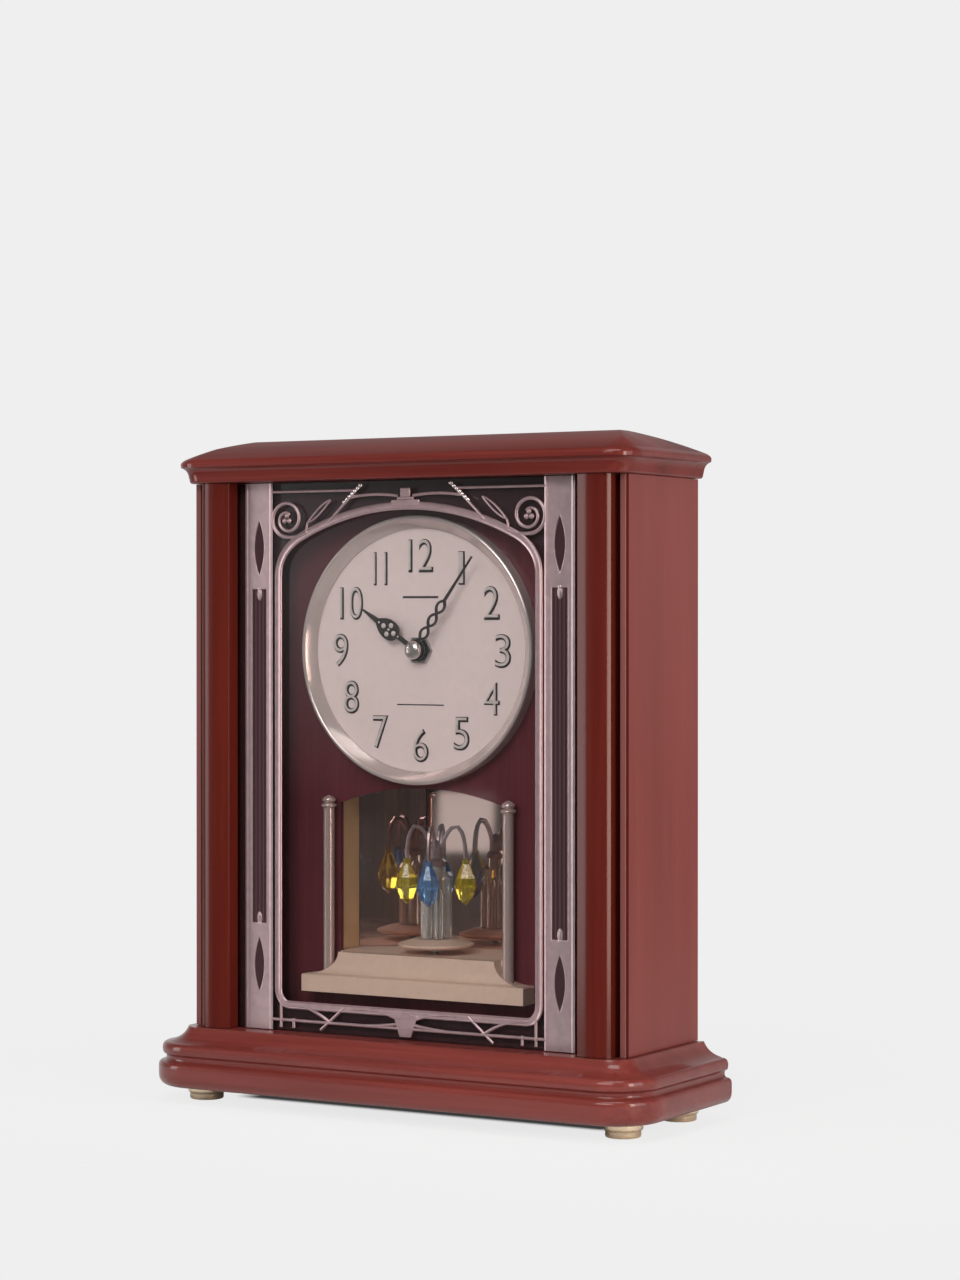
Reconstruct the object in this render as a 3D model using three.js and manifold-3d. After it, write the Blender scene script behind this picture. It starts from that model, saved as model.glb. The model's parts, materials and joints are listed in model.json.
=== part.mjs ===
// Wooden mantel clock with a rotating crystal pendulum behind a glass front with silver tracery.
// Millimetres, +X to the viewer's right, +Y to the back, +Z up, standing on z = 0.
import * as THREE from 'three';
import { mergeVertices } from 'three/addons/utils/BufferGeometryUtils.js';
import Module from 'manifold-3d';

const wasm = await Module();
wasm.setup();

// Clearances
const seatGap = 0.2;
const runGap = 0.3;
const doorGap = 0.6;

// Case: y = 0 is the front edge of the side panels until the whole clock is centred at the end
const overallHeight = 310;
const bodyWidth = 229.4;
const bodyDepth = 69.4;
const panelThickness = 12;
const columnProud = 5;
const columnSwell = 1.6;
const columnArrisBack = 0.1;
const columnEdgeBack = 2.4;
const columnWidth = 15.7;
const edgeStrip = 3.2;
const grooveWidth = 3.3;
const cornerRadius = 7;
const sharpRadius = 0.8;
const footHeight = 7.4;
const footRadius = 8.8;
const footFromSide = 3.7;
const footFromFront = 4;
const footFromBack = 11.4;
const plinthHeight = 27.3;
const plinthProjection = 17.1;
const corniceHeight = 20.5;
const corniceProjection = 6.8;
const hipSideRun = 20.9;
const hipFrontRun = 34.6;
const hipBackRun = 37;
const hipSwell = 0.35;

// Glass front and its tracery
const glassSetback = 3;
const glassThickness = 3;
const glassLap = 6.5;
const traceryThickness = 0.7;
const traceryBond = 0.1;
const bandWidth = 15.4;
const bandFromColumn = 4.7;
const bandSlotWidth = 8.2;
const bandSlotLength = 156;
const bandLensWidth = 5.6;
const bandLensLength = 26;
const frameWidth = 3.8;
const frameFromBand = 1;
const frameBottomRise = 12.3;
const frameTopDrop = 12;
const frameArchRadius = 127;
const frameBottomRadius = 9;
const frameShoulder = 11;
const strokeWidth = 1.5;
const scrollRadius = 8.3;
const scrollTurns = 1.6;
const scrollDrop = 17.2;
const scrollEye = 1.7;
const topRailDrop = 4.5;
const bottomRailRise = 5.2;
const diagonalTop = 24;
const diagonalFoot = 42;
const leafTip = 40.5;
const leafDrop = 9;
const leafEnd = 53;
const leafBelly = 7.4;
const leafFall = 14.4;
const highSwagBend = 15;
const lowSwagBend = 18;
const lowSwagOver = 10;
const bendSteps = 6;
const crestWidth = 15;
const crestHeight = 2.6;
const crestBlockTop = 8;
const crestBlockWidth = 5.2;
const keystoneWidth = 6;

// Dial, board and hands
const boardThickness = 2.5;
const dialDrop = 77.7;
const bezelRadius = 61.6;
const bezelWidth = 6;
const bezelHeight = 7;
const dialThickness = 1.2;
const dialRimRise = 0.6;
const nutThickness = 1.8;
const nutRadius = 6.6;
const handThickness = 0.8;
const nutToHand = 1.8;
const handToHand = 1;
const capFromGlass = 1;
const hourHandLength = 34;
const minuteHandLength = 52.4;
const handBossRadius = 5;
const capRadius = 4.2;
const capHeight = 2.2;
const shownHour = 10;
const shownMinute = 6;

// Movement
const movementWidth = 62;
const roomOverWheels = 3.5;
const roomUnderWheels = 8.3;
const movementDepth = 17;
const movementWall = 1.4;
const coverThickness = 1.4;
const bushRadius = 5;
const bushBore = 3.4;
const pipeRadius = 3.1;
const pipeBore = 2;
const arborRadius = 1.7;
const stemRadius = 1.2;
const knobRadius = 6;
const knobHeight = 6;
const knobStandoff = 2;
const wheelThickness = 1.6;
const cellRadius = 7.25;
const cellLength = 50.5;
const unitDepth = 6;
const unitBelowCentre = 10;
const unitFromTop = 4;
const driveShaftRadius = 1;
const motionModule = 0.7;
const cannonTeeth = 10;
const minuteWheelTeeth = 30;
const minutePinionTeeth = 8;
const hourWheelTeeth = 32;
const trainModule = 0.6;
const centreWheelTeeth = 30;
const drivePinionTeeth = 10;

// Pendulum niche
const nicheHalfWidth = 44.4;
const nicheFromBezel = 1.65;
const nicheArchRise = 7.5;
const nicheWallDepth = 16;
const nicheWallSetOut = 1.6;
const nicheFromBack = 0.4;
const ceilingLift = 1.5;
const floorMargin = 2;
const mirrorBackWidth = 43;
const mirrorThickness = 2;
const floorThickness = 3;
const sillBeyondNiche = 14.8;
const sillFromGlass = 0.6;
const sillDrop = 18.5;
const fasciaHeight = 8;
const sillTopInset = 17.5;
const sillLedge = 1.2;
const sillSlopeDepth = 3;
const postRadius = 2.6;
const postOverShoulder = 3.5;
const postSocketDepth = 11.5;
const postFromNiche = 3.6;
const postAhead = 4.3;

// Pendulum and its drive
const driveFromBoard = 0.5;
const driveFromPlinth = 2.6;
const pendulumHeadroom = 17;
const pendulumReach = 14;
const spindleRadius = 1.5;
const pendulumBaseRadius = 17.5;
const pendulumBaseHeight = 4;
const pendulumLift = 2.6;
const columnRadius = 7.4;
const rodCount = 6;
const armRadius = 1;
const dropRadius = 5.4;
const dropCount = 4;
const pendulumModule = 0.5;
const pendulumGearTeeth = 30;
const motorPinionTeeth = 10;
const gearThickness = 2.2;
const driveWall = 1.2;
const driveFloor = 1.6;
const motorHeight = 19;
const motorFromGear = 2;
const gearFromFloor = 6.6;
const pivotWall = 0.8;
const motorShaftRadius = 0.8;

// Back and door
const backSetback = 5;
const backThickness = 4;
const doorWidth = 123.2;
const doorRise = 55;
const doorDrop = 19.8;
const hingeLength = 30;
const hingeLeafWidth = 13.5;
const hingeLeafThickness = 1;
const knuckleRadius = 1.6;
const hingePinRadius = 0.8;
const hingeInset = 25;
const doorKnobRadius = 5;
const doorKnobHeight = 4.2;
const doorKnobInset = 10;
const catchWidth = 16;
const catchHeight = 12;
const catchThickness = 3;
const catchLap = 3.6;

// Places worked out from the sizes above
const halfBody = bodyWidth / 2;
const plinthTop = footHeight + plinthHeight;
const corniceBottom = overallHeight - corniceHeight;
const innerBottom = plinthTop + seatGap;
const innerTop = corniceBottom - seatGap;
const panelInside = halfBody - panelThickness;
const columnOuter = halfBody - edgeStrip - grooveWidth;
const columnInner = columnOuter - columnWidth;
const glassBack = glassSetback + glassThickness;
const panelStep = glassBack + seatGap;
const glassHalfWidth = columnInner + glassLap - seatGap;
const traceryBack = glassSetback - traceryBond;
const traceryFront = traceryBack - traceryThickness;
const bandOuter = columnInner - bandFromColumn;
const bandInner = bandOuter - bandWidth;
const scrollX = bandInner - 0.95 * scrollRadius;
const scrollZ = corniceBottom - scrollDrop;
const capFront = glassBack + capFromGlass;
const minuteFront = capFront + capHeight + seatGap;
const hourFront = minuteFront + handThickness + handToHand;
const nutFront = hourFront + handThickness + nutToHand;
const dialFace = nutFront + nutThickness + seatGap;
const dialBack = dialFace + dialThickness;
const boardSetback = dialBack + seatGap;
const boardBack = boardSetback + boardThickness;
const dialHeight = corniceBottom - dialDrop;
const toothTip = 0.85;
const toothRoot = 1.3;
const stemRise = ((cannonTeeth + minuteWheelTeeth) * motionModule) / 2;
const driveAside = ((centreWheelTeeth + drivePinionTeeth) * trainModule) / 2;
const minuteWheelReach = (minuteWheelTeeth / 2 + toothTip) * motionModule;
const hourWheelReach = (hourWheelTeeth / 2 + toothTip) * motionModule;
const movementFront = boardBack + seatGap;
const movementBack = movementFront + movementDepth;
const movementTop = stemRise + minuteWheelReach + roomOverWheels + movementWall;
const bayTop = -hourWheelReach - roomUnderWheels - movementWall;
const movementBottom = bayTop - 2 * cellRadius - 2 * runGap - movementWall;
const gearReach = (pendulumGearTeeth / 2 + toothTip) * pendulumModule + runGap;
const motorAside = ((pendulumGearTeeth + motorPinionTeeth) * pendulumModule) / 2;
const motorRadius = motorAside - spindleRadius - pivotWall - 2 * runGap;
const driveBottom = plinthTop + driveFromPlinth;
const motorBottom = driveBottom + driveFloor + runGap;
const motorTop = motorBottom + motorHeight;
const gearBottom = motorTop + motorFromGear;
const gearTop = gearBottom + gearThickness;
const nicheFloor = gearTop + gearFromFloor + floorThickness;
const nicheArchTop = dialHeight - bezelRadius - nicheFromBezel;
const nicheShoulder = nicheArchTop - nicheArchRise;
const nicheCeiling = nicheArchTop + ceilingLift;
const pendulumDepth = boardBack + driveFromBoard + driveWall + gearReach;
const backFront = bodyDepth - backSetback - backThickness;
const backOuter = bodyDepth - backSetback;
const nicheBack = backFront - nicheFromBack;
const doorBottom = plinthTop + doorRise;
const doorTop = corniceBottom - doorDrop;
const fullTurn = 2 * Math.PI;

// Finishes
const finishes = {
  mahogany: { color: 0x7a3a36, roughness: 0.32, metalness: 0 },
  cornice: { color: 0x6e3838, roughness: 0.3, metalness: 0 },
  darkBoard: { color: 0x4a2a2c, roughness: 0.45, metalness: 0 },
  blackBoard: { color: 0x2a1a18, roughness: 0.7, metalness: 0 },
  silver: { color: 0xb3a3a4, roughness: 0.3, metalness: 0.9 },
  dialSilver: { color: 0xc3b2ae, roughness: 0.45, metalness: 0.5 },
  champagne: { color: 0xd8c0b4, roughness: 0.4, metalness: 0.4 },
  brass: { color: 0xc9a668, roughness: 0.3, metalness: 1 },
  steel: { color: 0x9a9a9c, roughness: 0.35, metalness: 1 },
  handBlack: { color: 0x2a2224, roughness: 0.4, metalness: 0.3 },
  plastic: { color: 0x1c1c1e, roughness: 0.55, metalness: 0 },
  whitePlastic: { color: 0xd6d2c8, roughness: 0.5, metalness: 0 },
  glass: { color: 0xe8eeee, roughness: 0.03, metalness: 0 },
  mirror: { color: 0xb9a48c, roughness: 0.05, metalness: 1 },
  bronzeMirror: { color: 0x7a5a3c, roughness: 0.12, metalness: 1 },
  clearCrystal: { color: 0xeef2f4, roughness: 0.02, metalness: 0 },
  blueCrystal: { color: 0x3c6ea8, roughness: 0.02, metalness: 0 },
  amberCrystal: { color: 0xd8b82c, roughness: 0.02, metalness: 0 },
  cellBody: { color: 0x3a3a40, roughness: 0.35, metalness: 0.4 },
};

// Joins equal corners and drops the flat triangles that lathes leave at their poles
function weld(geometry) {
  const bare = geometry.clone();
  bare.deleteAttribute('normal');
  bare.deleteAttribute('uv');
  const merged = mergeVertices(bare, 1e-4);
  const corners = merged.index.array;
  const kept = [];
  for (let i = 0; i < corners.length; i += 3) {
    const [a, b, c] = [corners[i], corners[i + 1], corners[i + 2]];
    if (a !== b && b !== c && c !== a) kept.push(a, b, c);
  }
  merged.setIndex(kept);
  return merged;
}

// Turns the triangles round where a geometry was drawn inside out
function faceOutward(geometry) {
  const place = geometry.attributes.position;
  const corners = geometry.index.array;
  const [a, b, c] = [new THREE.Vector3(), new THREE.Vector3(), new THREE.Vector3()];
  let volume = 0;
  for (let i = 0; i < corners.length; i += 3) {
    a.fromBufferAttribute(place, corners[i]);
    b.fromBufferAttribute(place, corners[i + 1]);
    c.fromBufferAttribute(place, corners[i + 2]);
    volume += a.dot(b.cross(c));
  }
  if (volume < 0) geometry.setIndex(Array.from(corners).reverse());
  return geometry;
}

function closed(geometry) {
  return faceOutward(weld(geometry));
}

function toSolid(geometry) {
  const ready = closed(geometry);
  const vertProperties = new Float32Array(ready.attributes.position.array);
  const triVerts = new Uint32Array(ready.index.array);
  return new wasm.Manifold(new wasm.Mesh({ numProp: 3, vertProperties, triVerts }));
}

function toGeometry(solid) {
  const mesh = solid.getMesh();
  const geometry = new THREE.BufferGeometry();
  geometry.setAttribute('position', new THREE.BufferAttribute(mesh.vertProperties, 3));
  geometry.setIndex(new THREE.BufferAttribute(mesh.triVerts, 1));
  return geometry;
}

function joined(...geometries) {
  const solids = geometries.map(toSolid);
  return toGeometry(solids.reduce((whole, piece) => whole.add(piece)));
}

function cut(geometry, ...tools) {
  const solids = tools.map(toSolid);
  return toGeometry(solids.reduce((whole, tool) => whole.subtract(tool), toSolid(geometry)));
}

// A flat outline drawn in x and z, seen from the front, made solid from yFront to yBack
function frontPlate(shape, yFront, yBack, curveSegments = 8) {
  const options = { depth: yBack - yFront, bevelEnabled: false, curveSegments };
  return new THREE.ExtrudeGeometry(shape, options).rotateX(Math.PI / 2).translate(0, yBack, 0);
}

// A flat outline drawn in x and y, seen from above, made solid from zBottom to zTop
function planPlate(shape, zBottom, zTop, curveSegments = 8) {
  const options = { depth: zTop - zBottom, bevelEnabled: false, curveSegments };
  return new THREE.ExtrudeGeometry(shape, options).translate(0, 0, zBottom);
}

function block(x0, x1, y0, y1, z0, z1) {
  const box = new THREE.BoxGeometry(x1 - x0, y1 - y0, z1 - z0);
  return box.translate((x0 + x1) / 2, (y0 + y1) / 2, (z0 + z1) / 2);
}

function points2(pairs) {
  return pairs.map(([u, v]) => new THREE.Vector2(u, v));
}

// Profile of radius and depth turned round the y axis
function turnedY(pairs, segments) {
  return new THREE.LatheGeometry(points2(pairs), segments);
}

// Profile of radius and height turned round the z axis
function turnedZ(pairs, segments) {
  return new THREE.LatheGeometry(points2(pairs), segments).rotateX(Math.PI / 2);
}

function pinY(radius, y0, y1, segments = 16) {
  return turnedY([[0, y0], [radius, y0], [radius, y1], [0, y1]], segments);
}

function pinZ(radius, z0, z1, segments = 16) {
  return turnedZ([[0, z0], [radius, z0], [radius, z1], [0, z1]], segments);
}

// Skin over a stack of rings with equal numbers of points, closed by its first and last ring
function loft(rings) {
  const count = rings[0].length;
  const positions = rings.flat().flatMap((point) => point.toArray());
  const faces = [];
  for (let level = 0; level < rings.length - 1; level += 1) {
    for (let i = 0; i < count; i += 1) {
      const next = (i + 1) % count;
      const [a, b] = [level * count + i, level * count + next];
      faces.push(a, b, b + count, a, b + count, a + count);
    }
  }
  const lid = THREE.ShapeUtils.triangulateShape(rings[0].map((p) => new THREE.Vector2(p.x, p.y)), []);
  const top = (rings.length - 1) * count;
  lid.forEach(([a, b, c]) => faces.push(c, b, a));
  lid.forEach(([a, b, c]) => faces.push(top + a, top + b, top + c));
  const geometry = new THREE.BufferGeometry();
  geometry.setAttribute('position', new THREE.Float32BufferAttribute(positions, 3));
  geometry.setIndex(faces);
  return geometry;
}

function rectangle(x0, x1, y0, y1) {
  return new THREE.Shape(points2([[x0, y0], [x1, y0], [x1, y1], [x0, y1]]));
}

function roundHole(x, y, radius) {
  return new THREE.Path().absarc(x, y, radius, 0, fullTurn, true);
}

// A pointed leaf between two ends on one upright line
function lens(shape, x, z, width, length) {
  shape.moveTo(x, z - length / 2);
  shape.quadraticCurveTo(x + width, z, x, z + length / 2);
  shape.quadraticCurveTo(x - width, z, x, z - length / 2);
  return shape;
}

// Even band of a given width along a row of points
function ribbon(line, width) {
  const left = [];
  const right = [];
  line.forEach((point, i) => {
    const before = line[Math.max(i - 1, 0)];
    const after = line[Math.min(i + 1, line.length - 1)];
    const along = after.clone().sub(before).normalize();
    const side = new THREE.Vector2(-along.y, along.x).multiplyScalar(width / 2);
    left.push(point.clone().add(side));
    right.unshift(point.clone().sub(side));
  });
  return new THREE.Shape([...left, ...right]);
}

function straight(x0, z0, x1, z1) {
  return points2([[x0, z0], [x1, z1]]);
}

function bend(x0, z0, xc, zc, x1, z1, steps = 8) {
  const [start, middle, end] = points2([[x0, z0], [xc, zc], [x1, z1]]);
  return new THREE.QuadraticBezierCurve(start, middle, end).getPoints(steps);
}

// Involute teeth with a little backlash, one tooth centred on the angle turn
function gearShape(teeth, module, turn) {
  const pressure = THREE.MathUtils.degToRad(20);
  const involute = (angle) => Math.tan(angle) - angle;
  const pitch = (teeth * module) / 2;
  const base = pitch * Math.cos(pressure);
  const tip = pitch + toothTip * module;
  const root = pitch - toothRoot * module;
  const halfTooth = Math.PI / (2 * teeth) - (0.1 * module) / pitch;
  const halfAt = (radius) => {
    const angle = Math.acos(Math.min(1, base / Math.max(radius, base)));
    return halfTooth + involute(pressure) - involute(angle);
  };
  const outline = [];
  for (let i = 0; i < teeth; i += 1) {
    const middle = turn + (i / teeth) * fullTurn;
    const flank = [root, tip].map((radius) => [radius, halfAt(radius)]);
    flank.forEach(([radius, half]) => outline.push([radius, middle - half]));
    flank.reverse().forEach(([radius, half]) => outline.push([radius, middle + half]));
  }
  return new THREE.Shape(points2(outline.map(([r, a]) => [r * Math.cos(a), r * Math.sin(a)])));
}

const clock = new THREE.Group();

function add(group, name, geometry, finish) {
  const ready = closed(geometry);
  ready.computeVertexNormals();
  const mesh = new THREE.Mesh(ready, new THREE.MeshStandardMaterial(finishes[finish]));
  mesh.name = name;
  group.add(mesh);
}

const sides = [['left', -1], ['right', 1]];

// Wooden mouldings: one profile of projection and height carried round both sides and the front.
// The hipped top also draws in from the front and the back.
function mouldingRing(projection, height, fromFront = 0, fromBack = 0) {
  const radius = Math.max(cornerRadius + projection, sharpRadius);
  const half = halfBody + projection;
  const front = -columnProud - projection + fromFront;
  const back = bodyDepth - fromBack;
  const outline = new THREE.Path();
  outline.moveTo(half, back);
  outline.lineTo(-half, back);
  outline.absarc(-half + radius, front + radius, radius, Math.PI, 1.5 * Math.PI, false);
  outline.absarc(half - radius, front + radius, radius, 1.5 * Math.PI, fullTurn, false);
  return outline.getPoints(3).map((p) => new THREE.Vector3(p.x, p.y, height));
}

function mouldingRings(profile, bottom) {
  return profile.getPoints(3).map((p) => mouldingRing(p.x, bottom + p.y));
}

// Rings of the cornice's hipped top, from the moulding's last ring up to a narrow flat, swelling a little
function hipRings() {
  const start = corniceProjection - 2.4;
  const low = 0.4 * corniceHeight + 3;
  const steps = 4;
  const rings = [];
  for (let i = 1; i <= steps; i += 1) {
    const share = i / steps;
    const rise = share + hipSwell * share * (1 - share);
    const height = corniceBottom + low + (corniceHeight - low) * rise;
    const fromFront = (hipFrontRun - hipSideRun) * share;
    rings.push(mouldingRing(start - hipSideRun * share, height, fromFront, hipBackRun * share));
  }
  return rings;
}

function plinthProfile() {
  const band = 0.42 * plinthHeight;
  const neck = plinthProjection - 3.6;
  const neckTop = band + 3.4;
  const bead = plinthProjection - 1.8;
  const beadTop = neckTop + 5.6;
  const ledge = 3.1;
  const profile = new THREE.Path();
  profile.moveTo(plinthProjection - 4.6, 0);
  profile.quadraticCurveTo(plinthProjection, 0.6, plinthProjection, band / 2);
  profile.lineTo(plinthProjection, band - 2.4);
  profile.quadraticCurveTo(plinthProjection, band, plinthProjection - 2, band + 0.2);
  profile.quadraticCurveTo(neck, band + 0.4, neck, band + 1.8);
  profile.quadraticCurveTo(neck, neckTop, bead - 0.8, neckTop + 0.2);
  profile.quadraticCurveTo(bead, neckTop + 0.4, bead, neckTop + 2.6);
  profile.quadraticCurveTo(bead, beadTop, bead - 3, beadTop);
  profile.lineTo(bead - 4.4, beadTop + 0.5);
  profile.quadraticCurveTo(ledge + 2, beadTop + 2, ledge, plinthHeight);
  return profile;
}

function corniceProfile() {
  const tipHeight = 0.4 * corniceHeight;
  const profile = new THREE.Path();
  profile.moveTo(1.2, 0);
  profile.quadraticCurveTo(2.4, 0.2, 2.5, 1.4);
  profile.lineTo(2.9, 3);
  profile.quadraticCurveTo(3.4, tipHeight - 1.6, corniceProjection - 0.2, tipHeight - 0.8);
  profile.lineTo(corniceProjection, tipHeight + 0.8);
  profile.quadraticCurveTo(corniceProjection - 0.4, tipHeight + 2, corniceProjection - 2.4, tipHeight + 3);
  return profile;
}

function footGeometry() {
  const top = footHeight - seatGap;
  return turnedZ([
    [0, 0], [footRadius - 1.6, 0], [footRadius - 0.9, 0.7], [footRadius - 0.9, 0.35 * top],
    [footRadius, 0.5 * top], [footRadius, top], [0, top],
  ], 16);
}

function buildCase() {
  add(clock, 'base_plinth', loft(mouldingRings(plinthProfile(), footHeight)), 'mahogany');
  const cornice = [...mouldingRings(corniceProfile(), corniceBottom), ...hipRings()];
  add(clock, 'top_cornice', loft(cornice), 'cornice');
  const footX = halfBody - footFromSide;
  for (const [side, sign] of sides) {
    const front = footGeometry().translate(sign * footX, footFromFront, 0);
    const rear = footGeometry().translate(sign * footX, bodyDepth - footFromBack, 0);
    add(clock, `foot_front_${side}`, front, 'brass');
    add(clock, `foot_rear_${side}`, rear, 'brass');
    add(clock, `side_panel_${side}`, planPlate(panelShape(sign), innerBottom, innerTop, 3), 'mahogany');
    add(clock, `corner_column_${side}`, planPlate(columnShape(sign), innerBottom, innerTop, 8), 'mahogany');
  }
}

// Side panel in plan, with the step that leaves a dark groove beside the column
function panelShape(sign) {
  const round = 0.8;
  const shape = new THREE.Shape();
  shape.moveTo(sign * (halfBody - edgeStrip), 0);
  shape.lineTo(sign * (halfBody - round), 0);
  shape.quadraticCurveTo(sign * halfBody, 0, sign * halfBody, round);
  shape.lineTo(sign * halfBody, bodyDepth);
  shape.lineTo(sign * panelInside, bodyDepth);
  shape.lineTo(sign * panelInside, panelStep);
  shape.lineTo(sign * (halfBody - edgeStrip), panelStep);
  return shape;
}

// Corner column in plan: a swelling front, and a rebate behind it for the glass
function columnShape(sign) {
  const rebate = glassSetback - seatGap;
  const shape = new THREE.Shape();
  const swell = -columnProud - columnSwell;
  shape.moveTo(sign * columnInner, rebate);
  shape.lineTo(sign * columnInner, columnArrisBack - columnProud);
  shape.bezierCurveTo(
    sign * (columnInner + 0.25 * columnWidth), swell,
    sign * (columnOuter - 0.2 * columnWidth), swell,
    sign * columnOuter, columnEdgeBack - columnProud,
  );
  shape.lineTo(sign * columnOuter, glassBack);
  shape.lineTo(sign * (columnInner + glassLap), glassBack);
  shape.lineTo(sign * (columnInner + glassLap), rebate);
  return shape;
}

// Silver tracery plate on the glass
function bandShape(sign) {
  const shape = rectangle(sign * bandInner, sign * bandOuter, innerBottom + seatGap, innerTop - seatGap);
  const x = (sign * (bandInner + bandOuter)) / 2;
  const middle = (plinthTop + corniceBottom) / 2;
  const end = bandSlotLength / 2;
  const half = bandSlotWidth / 2;
  const lensAway = end + 6 + bandLensLength / 2;
  const slot = new THREE.Path();
  slot.moveTo(x - half, middle - end);
  slot.lineTo(x + half, middle - end);
  slot.lineTo(x + half, middle + end);
  slot.lineTo(x - half, middle + end);
  shape.holes.push(slot);
  for (const direction of [-1, 1]) {
    shape.holes.push(lens(new THREE.Path(), x, middle + direction * lensAway, bandLensWidth, bandLensLength));
  }
  return shape;
}

const frameHalf = bandInner - frameFromBand;
const frameBottom = plinthTop + frameBottomRise;
const archCentre = corniceBottom - frameTopDrop - frameArchRadius;

function archAt(x) {
  return archCentre + Math.sqrt(frameArchRadius ** 2 - x ** 2);
}

// Outline of the arched frame, moved inwards by inset
function frameOutline(path, inset) {
  const half = frameHalf - inset;
  const bottom = frameBottom + inset - frameWidth / 2;
  const corner = frameBottomRadius - inset;
  const radius = frameArchRadius + frameWidth / 2 - inset;
  const onArch = (x) => archCentre + Math.sqrt(radius ** 2 - x ** 2);
  const turnX = half - frameShoulder;
  const startAngle = Math.acos(turnX / radius);
  path.moveTo(-half + corner, bottom);
  path.lineTo(half - corner, bottom);
  path.absarc(half - corner, bottom + corner, corner, -Math.PI / 2, 0, false);
  path.lineTo(half, onArch(half) - frameShoulder);
  path.quadraticCurveTo(half, onArch(half), turnX, onArch(turnX));
  path.absarc(0, archCentre, radius, startAngle, Math.PI - startAngle, false);
  path.quadraticCurveTo(-half, onArch(half), -half, onArch(half) - frameShoulder);
  path.lineTo(-half, bottom + corner);
  path.absarc(-half + corner, bottom + corner, corner, Math.PI, 1.5 * Math.PI, false);
  return path;
}

// Scroll that winds in anticlockwise on the right, from its lowest point to a small eye
function scrollLine(sign) {
  const steps = 26;
  const line = [];
  for (let i = 0; i <= steps; i += 1) {
    const share = i / steps;
    const radius = scrollRadius * (1 - 0.72 * share ** 1.6);
    const angle = -Math.PI / 2 + share * scrollTurns * fullTurn;
    const x = scrollX + radius * Math.cos(angle);
    line.push(new THREE.Vector2(sign * x, scrollZ + radius * Math.sin(angle)));
  }
  return line;
}

// Rail, diagonal, swag, leaf and scroll between the arch and the cornice
function topStrokes(sign) {
  const rail = corniceBottom - topRailDrop;
  const low = scrollZ - scrollRadius;
  const tail = scrollX - 11;
  const tip = [sign * leafTip, corniceBottom - leafDrop];
  const tailEnd = [sign * tail, archAt(tail)];
  const swagEnd = diagonalTop + 5.4;
  return [
    straight(sign * (diagonalTop + 2.5), rail, sign * (bandInner + 1), rail),
    straight(sign * diagonalTop, rail + 2.6, sign * diagonalFoot, archAt(diagonalFoot)),
    bend(sign * 4, rail - 3, sign * (swagEnd - 12.4), rail - 1.2, sign * swagEnd, rail - 3.2),
    bend(...tip, sign * (leafEnd - 3), rail - leafBelly, sign * leafEnd, rail - leafFall, bendSteps),
    bend(...tip, sign * (leafTip + 4), low + 5.4, ...tailEnd, bendSteps),
    bend(...tailEnd, sign * (scrollX - 5), low - 0.6, sign * scrollX, low, bendSteps),
    scrollLine(sign),
  ];
}

// Rail, diagonals, swags and upright ticks between the frame and the plinth
function bottomStrokes(sign) {
  const rail = plinthTop + bottomRailRise;
  const low = rail - 3.4;
  const tie = frameBottom;
  const tick = frameHalf - 10.4;
  return [
    straight(0, rail, sign * (bandInner + 1), rail),
    straight(sign * (diagonalFoot - 9), tie + 0.6, sign * (diagonalFoot + 4), low),
    bend(sign * 4, rail + 4, sign * highSwagBend, tie + 1.4, sign * (diagonalTop + 3), tie),
    bend(sign * 4, rail + 2, sign * lowSwagBend, rail - 0.4, sign * (diagonalTop + lowSwagOver), rail),
    bend(sign * leafTip, rail, sign * (leafEnd - 1), tie + 0.6, sign * (tick + 2), tie),
    straight(sign * tick, low, sign * tick, rail + 1),
    straight(sign * (tick + 7), low, sign * (tick + 7), tie + 3),
  ];
}

function buildGlassFront() {
  const bottom = innerBottom;
  const top = innerTop;
  const glass = block(-glassHalfWidth, glassHalfWidth, glassSetback, glassBack, bottom, top);
  add(clock, 'front_glass', glass, 'glass');
  const frame = frameOutline(new THREE.Shape(), 0);
  frame.holes.push(frameOutline(new THREE.Path(), frameWidth));
  const keyTop = frameBottom - 2.4;
  const keyFoot = plinthTop + 1.4;
  const keyHalf = keystoneWidth / 2;
  const keystone = new THREE.Shape(points2([
    [-keyHalf, keyFoot], [keyHalf, keyFoot], [keystoneWidth, keyTop],
    [keyHalf, frameBottom], [-keyHalf, frameBottom], [-keystoneWidth, keyTop],
  ]));
  const apex = archAt(0);
  const crest = rectangle(-crestWidth / 2, crestWidth / 2, apex - 0.6, apex + crestHeight);
  const blockHalf = crestBlockWidth / 2;
  const crestBlock = rectangle(-blockHalf, blockHalf, apex + crestHeight - 1, apex + crestBlockTop);
  const shapes = [frame, keystone, crest, crestBlock];
  for (const [, sign] of sides) {
    const strokes = [...topStrokes(sign), ...bottomStrokes(sign)];
    shapes.push(bandShape(sign), ...strokes.map((line) => ribbon(line, strokeWidth)));
    const eye = scrollLine(sign).pop();
    shapes.push(new THREE.Shape().absarc(eye.x, eye.y, scrollEye, 0, fullTurn, false));
  }
  const plates = shapes.map((shape) => frontPlate(shape, traceryFront, traceryBack, 7));
  add(clock, 'glass_tracery', joined(...plates), 'silver');
  for (const [side, sign] of sides) {
    const near = sign * (columnInner + 0.8);
    const far = sign * (panelInside - seatGap);
    const [x0, x1] = [Math.min(near, far), Math.max(near, far)];
    const stop = block(x0, x1, glassBack + seatGap, boardSetback - seatGap, bottom, top);
    add(clock, `glass_stop_${side}`, stop, 'darkBoard');
  }
}

// Opening of the pendulum niche, with a low arch over it
function nicheOutline(path) {
  const bottom = nicheFloor - floorThickness - seatGap;
  path.moveTo(-nicheHalfWidth, bottom);
  path.lineTo(nicheHalfWidth, bottom);
  path.lineTo(nicheHalfWidth, nicheShoulder);
  path.quadraticCurveTo(0, nicheArchTop + nicheArchRise, -nicheHalfWidth, nicheShoulder);
  return path;
}

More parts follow.
